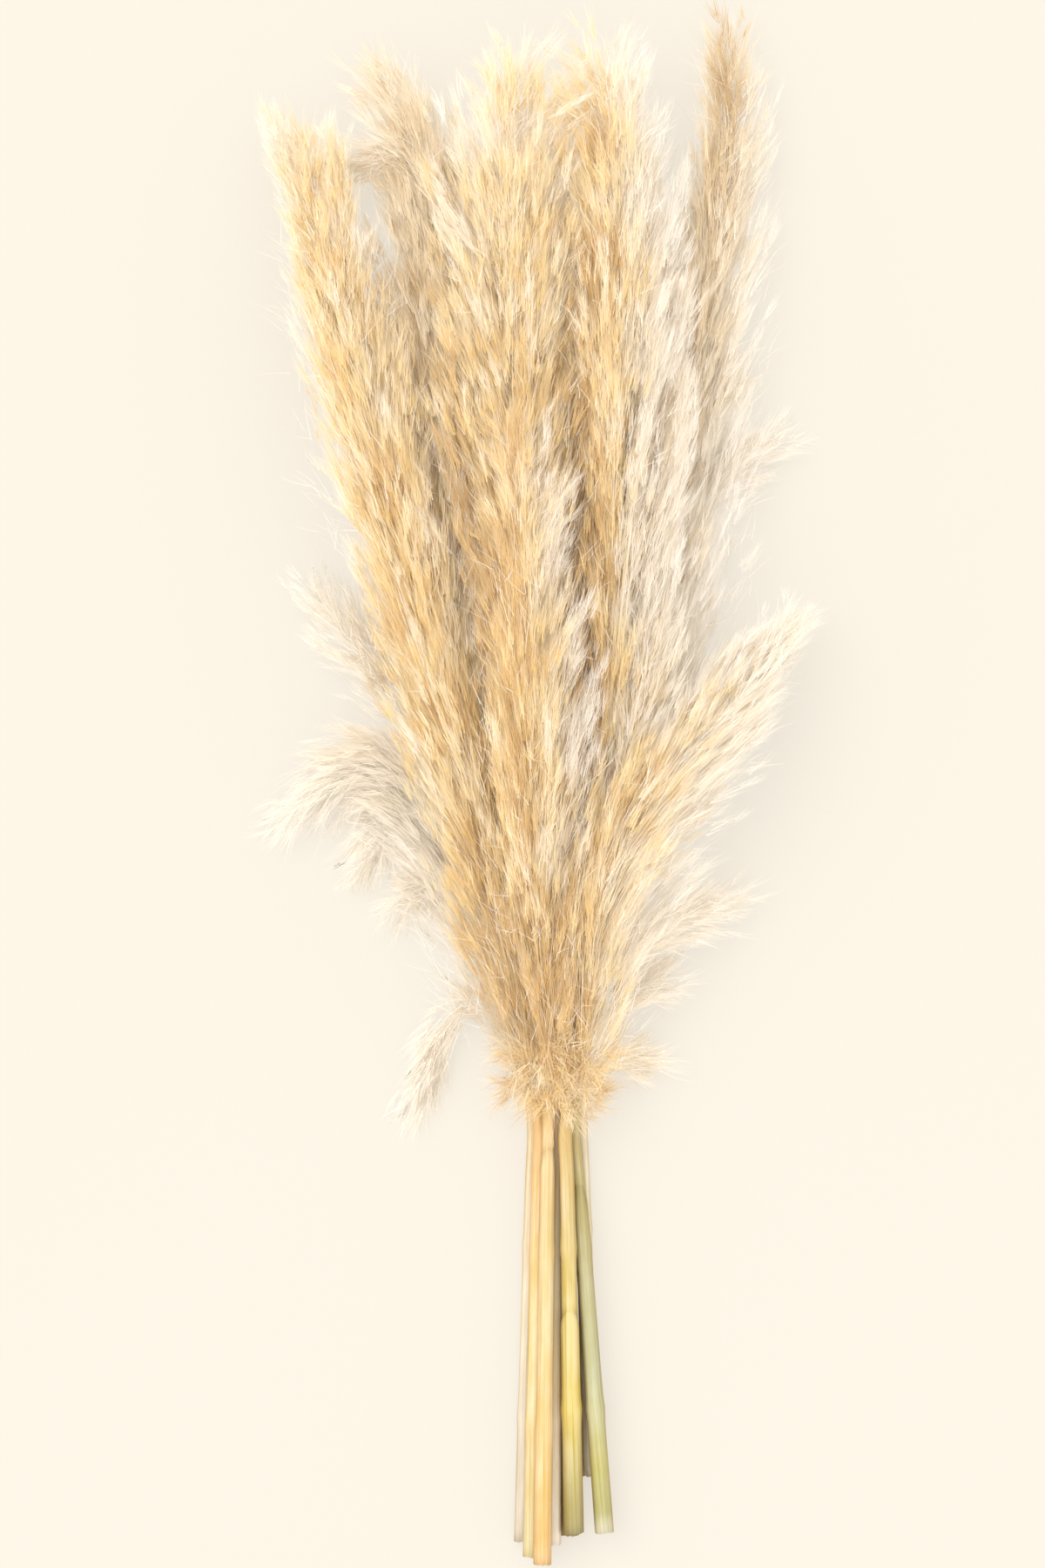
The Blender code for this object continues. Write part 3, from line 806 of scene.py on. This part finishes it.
def kept_in_cell(name, points, margin):
    """The points, moved back to their own side of every neighbour, and how far inside it they lie."""
    p = points.reshape(-1, 3).copy()
    margin = np.broadcast_to(margin, points.shape[:-1]).ravel()
    for _ in range(ROUNDS):
        own = nearest_on(LINES[name], p)
        inside = np.full(len(p), FAR_INSIDE)
        for other, line in LINES.items():
            if other == name:
                continue
            near = nearest_on(line, p)
            gap = own - near
            beside = np.hypot(gap[:, 0], gap[:, 1]) / np.maximum(np.abs(gap[:, 2]), 1e-6)
            beside = np.clip(beside - STACKED, 0, 1)
            gap[:, 2] *= 1 - UPRIGHT_WALLS * beside
            away = unit(gap)
            shift = WALL_SHIFTS.get((name, other), 0.0) - WALL_SHIFTS.get((other, name), 0.0)
            half = ((own - near) * away).sum(1) / 2 + shift
            clear = ((p - near) * away).sum(1) - np.maximum(half, CULM_CLEARANCE)
            p += away * np.maximum(margin - clear, 0.0)[:, None]
            inside = np.minimum(inside, np.maximum(clear, margin) + NOT_BESIDE * (1 - beside))
    return p.reshape(points.shape), inside.reshape(points.shape[:-1])


print("walls out of the middle:", len(WALL_SHIFTS))

# %% [markdown]
# ## How long and how far out branches grow
# The branches of a plume are longest a little above its base and shorten towards its tip, which few of
# them pass. Most end well out, where they carry the outline, and a few stray out of it: an even edge is
# what gives artificial grass away. A tassel is a plume made small, so on a short line the allowances in
# millimetres shrink with it.

# %% Branch lengths and reaches
BRANCH_LENGTHS = (0.7, 1.15)
BRANCH_STRETCH = 1.6
TIP_SHORTENING = 0.4
BASE_SHARE = 0.55
BASE_STRETCH = 0.15
SHORTEST_BRANCH = 24.0
FULL_ROOM = 200.0  # from this length on, a plume's branches have all of its room
FULL_SHORTEST = 80.0  # and all of the shortest branch's length
FORWARD_SHARE = 0.8  # a branch runs along the plume for this share of its length
LEAST_SPREAD = 0.3
BRANCH_REACH = (0.25, 1.0)  # how far out branches end, and their hairs reach the rest
HEART = 0.85  # below 1, more branches end far from the axis than close to it
STRAY_SHARE = 0.12  # this share of the branches strays out of the plume's outline
STRAY_REACH = (1.0, 1.18)


def branch_lengths(form, length, u, risen, rng):
    """How long the branches are that leave the axis at u, risen so far from where the plume starts."""
    long = form["branch"] * rng.uniform(*BRANCH_LENGTHS, len(u)) * (1 - TIP_SHORTENING * u)
    long = long * np.minimum(1.0, BASE_SHARE + (1 - BASE_SHARE) * u / BASE_STRETCH) * BRANCH_STRETCH
    room = rng.uniform(*form["room"], len(u)) * min(1.0, length / FULL_ROOM)
    shortest = SHORTEST_BRANCH * min(1.0, length / FULL_SHORTEST)
    return np.minimum(long, np.maximum(length + room - risen, shortest))


def branch_reaches(form, length, u, long, rng):
    """How far out the branches end, as a share of the plume's reach, and which of them stray."""
    stray = rng.random(len(u)) < STRAY_SHARE
    end = np.minimum(u + FORWARD_SHARE * long / length, 1.0)
    spread = LEAST_SPREAD + (1 - LEAST_SPREAD) * fullness(end, form["blunt"])
    low, high = BRANCH_REACH
    outer = low + (high - low) * rng.random(len(u)) ** HEART
    outer = np.where(stray, rng.uniform(*STRAY_REACH, len(u)), outer)
    return spread * outer, stray


print("shortest branch, mm:", SHORTEST_BRANCH)

# %% [markdown]
# ## Branches
# A plume is built like a fox's brush. Thin branches leave its axis all the way up, each a golden angle
# round from the last, and sweep out and along it in a bow. They wave a little and hang under their own
# weight. A particle system could place them too, but particles don't survive an export, and points in an
# array can be moved out of a neighbour's way.

# %% Branches
GOLDEN_ANGLE = math.radians(137.508)
TURN_JITTER = 0.25
BRANCH_POINTS = 9
BRANCH_PITCH = 1.05  # length of stalk for each branch
LAST_BRANCH = 0.985  # where along the plume the last one leaves the axis
BOW = 0.8  # below 1, branches leave it steeply and then bend along it
WAVE = 2.4  # how far the end of a branch waves to either side, in mm
WAVE_TURNS = (2, 6)
SAG = 5.0  # how far it hangs down, in mm
BRANCH_RISE = 0.3  # the end of a branch mingles as if it left the axis this much further up
CREVICE_SHADE_DEPTH = 3.5  # hair this close to a wall gets painted crevice shade
CREVICE_SHADE_ALONG = ((0.06, 0.25, 0.6, 0.88), (0.2, 1.0, 0.65, 0.0))  # at each u, how strong the painted crevice shade is
LOWEST_BRANCH = 1.2


def grow_branches(name, form, line, start, rng):
    """Branches, the matching places on the axis, each one's u and stray, and its painted crevice shade."""
    length = line.length - start
    count = int(length / BRANCH_PITCH)
    i = np.arange(count)
    s0 = start + length * (i + 0.5) / count * LAST_BRANCH
    u = (s0 - start) / length
    turn = GOLDEN_ANGLE * i + rng.uniform(-TURN_JITTER, TURN_JITTER, count)
    long = branch_lengths(form, length, u, s0 - start, rng)
    reached, stray = branch_reaches(form, length, u, long, rng)
    t = np.linspace(0, 1, BRANCH_POINTS)
    s = s0[:, None] + long[:, None] * t[None, :]
    axis = line.point(s)
    side, up = line.across(s)
    wide, high = form["reach"]
    lean = np.interp(u, (0, 1), form["lean"])
    wide = wide * (1 + np.cos(turn) * lean) * (1 + form["fan"] * u**2)
    cosine = np.cos(turn)[:, None, None]
    sine = np.sin(turn)[:, None, None]
    outward = side * cosine * wide[:, None, None] + up * sine * high
    sideways = up * cosine - side * sine
    out = reached[:, None] * t[None, :] ** BOW
    phase = t[None, :] * rng.uniform(*WAVE_TURNS, count)[:, None] + rng.uniform(0, 6, count)[:, None]
    wave = WAVE * t[None, :] * np.sin(phase)
    points = axis + outward * out[..., None] + sideways * wave[..., None]
    points[..., 2] -= SAG * t[None, :] ** 2
    pressed = np.zeros(points.shape[:-1])
    if name:
        at_base, at_tip = form["mingle"]
        risen = np.clip(u[:, None] + BRANCH_RISE * t[None, :], 0, 1)
        margin = at_base + (at_tip - at_base) * risen**2
        points, inside = kept_in_cell(name, points, margin)
        # painted shade: hair near a wall between plumes is darkened, most in the plume's lower half
        near_wall = np.exp(-np.maximum(inside + 1, 0) / CREVICE_SHADE_DEPTH)
        pressed = near_wall * np.interp(u, *CREVICE_SHADE_ALONG)[:, None] * form["pressed"]
    points[..., 2] = np.maximum(points[..., 2], LOWEST_BRANCH)
    return points, axis, u, stray, pressed


print("a branch for every", BRANCH_PITCH, "mm of plume")

# %% [markdown]
# ## Strips and spikes
# A hair tapers to a point. A bent hair is a strip of one four-sided and one three-sided face, and a
# straight one is a single thin triangle. The plume needs so many that every face counts, and at this
# fineness they look just like round hairs. Long strands are ribbons of a few faces more.

# %% Strips and spikes
TONE_EDGE = 0.003  # half of a hair's width on the UV map
LOWEST_HAIR = 0.25
ROOT_U = 0.01
TIP_U = 0.99
BEND_U = 0.55
BEND_WIDTH = 0.85
RIBBON_TAPER = 0.85


class Bale:
    """Hairs, collected before they become one mesh."""

    def __init__(self):
        self.points = []
        self.faces = {3: [], 4: []}
        self.places = []
        self.count = 0

    def add(self, points, faces, along, tone, sides):
        """Shapes of equal build, as points (hair, corner, xyz) and faces of corner numbers.

        Each corner has its place along the hair and its side of it, and each hair its tone."""
        first = self.count + np.arange(len(points))[:, None] * points.shape[1]
        for face in faces:
            self.faces[len(face)].append(first + np.array(face))
        u = np.broadcast_to(np.array(along), points.shape[:2])
        v = np.clip(tone, 0.01, 0.99)[:, None] + TONE_EDGE * np.array(sides)[None, :]
        self.places.append(np.stack([u, v], axis=-1).reshape(-1, 2))
        self.points.append(points.reshape(-1, 3))
        self.count += points.shape[0] * points.shape[1]

    def spikes(self, root, tip, width, facing, tone):
        """Straight hairs, one triangle each."""
        across = unit(np.cross(unit(tip - root), facing)) * (width / 2)[:, None]
        points = np.stack([root - across, root + across, tip], axis=1)
        self.add(points, [(0, 1, 2)], (ROOT_U, ROOT_U, TIP_U), tone, (-1, 1, 0))

    def strips(self, root, middle, tip, width, facing, tone):
        """Bent hairs, three triangles each."""
        across = unit(np.cross(unit(tip - root), facing)) * (width / 2)[:, None]
        bend = BEND_WIDTH * across
        points = np.stack([root - across, root + across, middle - bend, middle + bend, tip], axis=1)
        along = (ROOT_U, ROOT_U, BEND_U, BEND_U, TIP_U)
        self.add(points, [(0, 1, 3, 2), (2, 3, 4)], along, tone, (-1, 1, -1, 1, 0))

    def ribbons(self, paths, width, facing, tone):
        """Ribbons along paths (ribbon, point, xyz) that thin almost to nothing at their ends."""
        steps = paths.shape[1]
        along = unit(np.gradient(paths, axis=1))
        share = np.linspace(0, 1, steps)
        half = (width[:, None] * (1 - RIBBON_TAPER * share) / 2)[..., None]
        across = unit(np.cross(along, facing[:, None, :])) * half
        points = np.stack([paths - across, paths + across], axis=2).reshape(len(paths), -1, 3)
        faces = [(2 * i, 2 * i + 1, 2 * i + 3, 2 * i + 2) for i in range(steps - 1)]
        places = np.repeat(ROOT_U + (TIP_U - ROOT_U) * share, 2)
        self.add(points, faces, places, tone, np.tile([-1, 1], steps))

    def merged(self):
        """All points, all faces and all UV places, as new_piece takes them."""
        points = np.concatenate(self.points)
        points[:, 2] = np.maximum(points[:, 2], LOWEST_HAIR)
        faces = [np.concatenate(found) for found in self.faces.values() if found]
        return points, faces, np.concatenate(self.places)


print("triangles: straight hair 1, bent hair 3")

# %% [markdown]
# ## Directions
# Three small rules keep the hairs from looking combed or printed. A hair leaves its branch at random,
# but rather outwards. Its flat side turns mostly to the sky, as a light hair hangs in the open, so that a
# plume is as bright on its flanks as on its back. And a slow drift, a sum of a few waves, makes some parts
# of a plume a little paler than others, without the pattern of a texture.

# %% Directions
FACING = (0.5, 0.9, 0.3)  # how much a hair's flat side turns outwards, upwards and at random
DRIFT_WAVES = 6
DRIFT_LENGTH = (16.0, 60.0)


def across_at_random(along, rng, towards=None, pull=0.0):
    """A direction at right angles to each along, at random or leaning towards another one."""
    loose = rng.normal(size=along.shape)
    if towards is not None:
        loose = loose + pull * towards
    return unit(loose - (loose * along).sum(-1, keepdims=True) * along)


def faced(outward, rng):
    """Which way the flat sides of hairs turn."""
    outwards, upwards, spread = FACING
    return unit(outward * outwards + np.array((0.0, 0.0, upwards)) + rng.normal(0, spread, outward.shape))


def drift(points, rng):
    """A number for each point that changes slowly from place to place."""
    total = np.zeros(len(points))
    for _ in range(DRIFT_WAVES):
        direction = unit(rng.normal(size=3)) * 2 * np.pi / rng.uniform(*DRIFT_LENGTH)
        total += np.sin(points @ direction + rng.uniform(0, 6.3))
    return total


def paler(form, outward):
    """How much paler hair is that stands out in this direction."""
    return (outward * np.array(form["pale"])).sum(1)


print("drift, mm:", DRIFT_LENGTH)

# %% [markdown]
# ## Tufts
# Hairs stand all along the branches in small tufts, like the barbs of a feather that has come undone, and
# sweep forward with them. Their tone is a sum: paler outwards, towards the tip and on the plume's pale
# side, darker at its base and with painted shade where it meets a neighbour, and a little different on
# every branch.

# %% Tufts
TUFT_PITCH = 4.7
THIN_TOP = 0.7  # a plume's tip has this much less hair
STRAY_TUFTS = 0.6  # a stray branch has this share of the tufts
TUFT_SCATTER = 2.4
FIRST_TUFT = 0.04
OUTWARD = 0.55  # below 1, tufts crowd towards the branches' ends, which evens out the plume
LAST_STEP = BRANCH_POINTS - 1.001  # just short of a branch's last point
TUFT_ANGLE = (math.radians(1), math.radians(16))
WIDENING = (0.5, 0.8)  # the share of that angle at the plume's base, and how much more at its tip
TUFT_PULL = 0.6  # how far tufts turn outwards rather than anywhere
TUFT_SIZE = (0.7, 1.15)
END_TUFTS = 0.25  # tufts at a branch's end are this much shorter
HEART_TONE = 0.03
DEPTH_TONE = 0.4
BRANCH_SHADE = (0.10, 0.06)  # how much branches differ in tone at the base, and how much less at the tip
DRIFT = 0.05
STRAY_TONE = 0.1
CREVICE_SHADE_DARKNESS = 0.42  # hair in a crevice is painted this much darker, as shade
BASE_LENGTH = 0.06  # the dark base fades over this share of the plume


def grow_tufts(form, branches, axis, u, stray, pressed, rng):
    """Where the tufts stand, which way they point, and their size, tone and outward direction."""
    spans = np.linalg.norm(np.diff(branches, axis=1), axis=2).sum(1)
    pitch = TUFT_PITCH * form["sparse"] / (1 - THIN_TOP * u**4)
    each = np.maximum(3, (spans / pitch * np.where(stray, STRAY_TUFTS, 1.0)).astype(int))
    which = np.repeat(np.arange(len(branches)), each)
    t = FIRST_TUFT + (1 - FIRST_TUFT) * rng.random(len(which)) ** OUTWARD
    place = t * LAST_STEP
    k = place.astype(int)
    f = (place - k)[:, None]
    root = branches[which, k] * (1 - f) + branches[which, k + 1] * f
    away = root - (axis[which, k] * (1 - f) + axis[which, k + 1] * f)
    root = root + rng.normal(0, TUFT_SCATTER * form["clump"], root.shape)
    along = unit(branches[which, k + 1] - branches[which, k])
    depth = np.clip(np.linalg.norm(away, axis=1) / max(form["reach"]), 0, 1.1)
    outward = unit(away)
    angle = (rng.uniform(*TUFT_ANGLE, len(which)) * (WIDENING[0] + WIDENING[1] * u[which]))[:, None]
    heading = along * np.cos(angle) + across_at_random(along, rng, outward, TUFT_PULL) * np.sin(angle)
    size = rng.uniform(*TUFT_SIZE, len(which)) * (1 - END_TUFTS * t**2) * form["hair"]
    by_branch = rng.normal(0, 1, len(branches)) * (BRANCH_SHADE[0] - BRANCH_SHADE[1] * u)
    shade = by_branch[which] + DRIFT * drift(root, rng)
    tone = form["tone"] + HEART_TONE + DEPTH_TONE * depth**1.2 + form["fade"] * u[which] ** 1.5
    tone = tone + paler(form, outward) + shade + STRAY_TONE * stray[which]
    # painted shade: hair in the crevices between plumes is darkened
    tone = tone - form["dark_base"] * np.exp(-u[which] / BASE_LENGTH) - CREVICE_SHADE_DARKNESS * pressed[which, k]
    return root, heading, size, tone, outward


print("a tuft for every", TUFT_PITCH, "mm of branch")

# %% [markdown]
# ## Hairs
# A tuft's hairs start close together and fan out a little. Each has its own length, width and tone. Most
# are straight, and some bend, which is enough to keep a plume from looking like a brush.

# %% Hairs
BENT_HAIRS = 2
STRAIGHT_HAIRS = 10
TUFT_LENGTH = 9.0
HAIR_LENGTH = (8.0, 19.0)
HAIR_WIDTH = 0.2
HAIR_SCATTER = 0.75
FAN = 0.085
TIP_SCATTER = 0.05
BEND = 0.09
TONE_SPREAD = 0.06
WIDTH_SPREAD = 0.35


def grow_hairs(bale, tufts, each, bent, rng, clump=1.0):
    """Adds this many hairs to every tuft. Below 1, clump holds a tuft's hairs closer together."""
    root, tuft, size, tone, outward = [np.repeat(x, each, axis=0) for x in tufts]
    root = root + tuft * (rng.uniform(0, TUFT_LENGTH, len(root)) * size)[:, None]
    root = root + rng.normal(0, HAIR_SCATTER * clump, root.shape)
    heading = unit(tuft + rng.normal(0, FAN * clump, tuft.shape))
    long = (rng.uniform(*HAIR_LENGTH, len(root)) * size)[:, None]
    tip = root + heading * long + rng.normal(0, TIP_SCATTER, root.shape) * long
    facing = faced(outward, rng)
    tone = tone + rng.normal(0, TONE_SPREAD, len(root))
    width = HAIR_WIDTH * rng.lognormal(-0.05, WIDTH_SPREAD, len(root))
    if bent:
        middle = root + heading * long * 0.5 + across_at_random(heading, rng) * long * BEND
        bale.strips(root, middle, tip, width, facing, tone)
    else:
        bale.spikes(root, tip, width, facing, tone)


print("hairs to a tuft:", BENT_HAIRS + STRAIGHT_HAIRS)

# %% [markdown]
# ## Skirts
# Round its base a plume that starts low wears a skirt of short tufts, which stand out or even hang back
# over the culm. They are its lowest and shortest branches. Their hairs are made as all the others are,
# only spread further, so that the skirt looks soft and not like a ring of spikes.

# %% Skirts
SKIRT_TUFTS = 100
SKIRT_HAIRS = 14
SKIRTED_BELOW = -140.0  # a plume that starts lower than this Y has a skirt
SKIRT_LENGTH = 34.0
SKIRT_OFFSET = (2.0, 13.0)
SKIRT_SLOPE = (-1.3, 1.3)
SKIRT_SIZE = (0.5, 1.0)
SKIRT_TONE = (-0.05, 0.5)
SKIRT_SPREAD = 2.2


def grow_skirt(name, rng):
    """Tufts round the base of a plume, in the form that grow_hairs takes."""
    line = LINES[name]
    s = line.where_y(STALKS[name]["plume_from"]) + rng.uniform(0, SKIRT_LENGTH, SKIRT_TUFTS)
    turn = rng.uniform(0, 2 * np.pi, SKIRT_TUFTS)[:, None]
    side, up = line.across(s)
    outward = side * np.cos(turn) + up * np.sin(turn)
    slope = rng.uniform(*SKIRT_SLOPE, SKIRT_TUFTS)[:, None]
    heading = unit(outward + line.along(s) * slope)
    root = line.point(s) + outward * rng.uniform(*SKIRT_OFFSET, SKIRT_TUFTS)[:, None]
    tone = rng.uniform(*SKIRT_TONE, SKIRT_TUFTS)
    return root, heading, rng.uniform(*SKIRT_SIZE, SKIRT_TUFTS), tone, outward


print("tufts in a skirt:", SKIRT_TUFTS)

# %% [markdown]
# ## Strands and loose hairs
# Long silky strands follow the branches and give a plume its streaks. All over it single hairs cross the
# others, and near its tip wisps run on past it. They are few, but the eye finds them first: without them
# even a soft plume looks trimmed.

# %% Strands and loose hairs
STRAND_SCATTER = 2.2
STRAND_WIDTH = (0.2, 0.38)
STRAND_TONE = 0.35
STRAND_SPREAD = 0.18
# strands get this share of the painted crevice shade
STRAND_CREVICE_SHADE = 0.6
WISPS = dict(count=60, lengths=(16.0, 34.0), where=(0.62, 1.0), out=(0.1, 0.8), lean=(0.0, 0.3))
LOOSE_HAIRS = dict(count=520, lengths=(9.0, 20.0), where=(0.1, 1.0), out=(0.7, 1.0), lean=(0.1, 0.9))
LOOSE_WIDTH = (0.18, 0.3)
LOOSE_TONE = (0.6, 0.95)
LOOSE_BEND = 0.16
LOOSE_POINTS = 5


def grow_strands(bale, form, branches, axis, u, pressed, rng):
    """Long silky strands that follow the branches."""
    count = form["strands"]
    which = rng.integers(0, len(branches), count)
    t = np.linspace(0, 1, BRANCH_POINTS)[None, ::2, None]
    paths = branches[which, ::2] + rng.normal(0, STRAND_SCATTER, (count, 1, 3))
    paths = paths + rng.normal(0, STRAND_SCATTER, (count, 1, 3)) * t**2
    outward = unit(branches[which, -1] - axis[which, -1])
    tone = form["tone"] + STRAND_TONE + form["fade"] * u[which] ** 1.5 + paler(form, outward)
    tone = tone + rng.normal(0, STRAND_SPREAD, count)
    # painted shade in the crevices, weaker on strands
    tone = tone - STRAND_CREVICE_SHADE * CREVICE_SHADE_DARKNESS * pressed[which].max(1)
    bale.ribbons(paths, rng.uniform(*STRAND_WIDTH, count), faced(outward, rng), tone)


def grow_loose(bale, form, line, start, rng, count, lengths, where, out, lean):
    """Single hairs: where along the plume, how far out and how much they lean outwards are ranges."""
    u = rng.uniform(*where, count)
    s = start + u * (line.length - start)
    side, up = line.across(s)
    turn = rng.uniform(0, 2 * np.pi, count)[:, None]
    wide, high = form["reach"]
    outward = side * np.cos(turn) + up * np.sin(turn)
    offset = side * np.cos(turn) * wide + up * np.sin(turn) * high
    root = line.point(s) + offset * (fullness(u) * rng.uniform(*out, count))[:, None]
    heading = line.along(s) + outward * rng.uniform(*lean, count)[:, None]
    heading = unit(heading + rng.normal(0, 0.5 * lean[1], root.shape))
    long = rng.uniform(*lengths, count)[:, None, None]
    t = np.linspace(0, 1, LOOSE_POINTS)[None, :, None]
    bend = across_at_random(heading, rng)[:, None, :] * long * LOOSE_BEND
    paths = root[:, None, :] + heading[:, None, :] * long * t + bend * t**2
    width = rng.uniform(*LOOSE_WIDTH, count)
    bale.ribbons(paths, width, faced(outward, rng), rng.uniform(*LOOSE_TONE, count))


print("loose hairs to a plume:", WISPS["count"] + LOOSE_HAIRS["count"])

# %% [markdown]
# ## Plumes
# A plume is its branches, tufts, strands and wisps, joined in one mesh, so that a stalk is one culm and
# one plume and no more. A tassel is grown in the same way, round a short line of its own, and belongs to
# the mesh of its plume.

# %% Plumes
BRANCH_WIDTH = 0.5
FIRST_BRANCH = 2.0


def grow_form(bale, name, form, line, start, rng):
    """Grows the hair of a plume or, where it has no name, of a tassel into the bale."""
    branches, axis, u, stray, pressed = grow_branches(name, form, line, start, rng)
    facing = unit(branches[:, -1] - axis[:, -1])
    tone = form["tone"] + form["rachis"] + form["fade"] * u + rng.normal(0, TONE_SPREAD, len(branches))
    bale.ribbons(branches, np.full(len(branches), BRANCH_WIDTH), facing, tone)
    tufts = grow_tufts(form, branches, axis, u, stray, pressed, rng)
    grow_hairs(bale, tufts, BENT_HAIRS, True, rng, form["clump"])
    grow_hairs(bale, tufts, STRAIGHT_HAIRS, False, rng, form["clump"])
    grow_strands(bale, form, branches, axis, u, pressed, rng)


def build_plume(name, number):
    """One plume with its skirt and tassels. Returns its count of triangles."""
    form = {**PLAIN_PLUME, **STALKS[name]}
    line = LINES[name]
    rng = np.random.default_rng([SEED, number, 2])
    bale = Bale()
    start = line.where_y(form.get("hair_from", form["plume_from"])) + FIRST_BRANCH
    grow_form(bale, name, form, line, start, rng)
    if form["plume_from"] < SKIRTED_BELOW:
        grow_hairs(bale, grow_skirt(name, rng), SKIRT_HAIRS, True, rng, SKIRT_SPREAD)
    grow_loose(bale, form, line, start, rng, **WISPS)
    grow_loose(bale, form, line, start, rng, **LOOSE_HAIRS)
    for tassel in form.get("tassels", []):
        own_line = Line(tassel["route"], straight=False)
        grow_form(bale, None, {**PLAIN_TASSEL, **tassel}, own_line, 0.0, rng)
    slot = form["slots"][1]
    return new_piece("hair_" + name, *bale.merged(), HAIR_FINISHES[slot], slot, "plume_" + name)


totals += [build_plume(name, number) for number, name in enumerate(STALKS)]
print("triangles in all:", sum(totals))
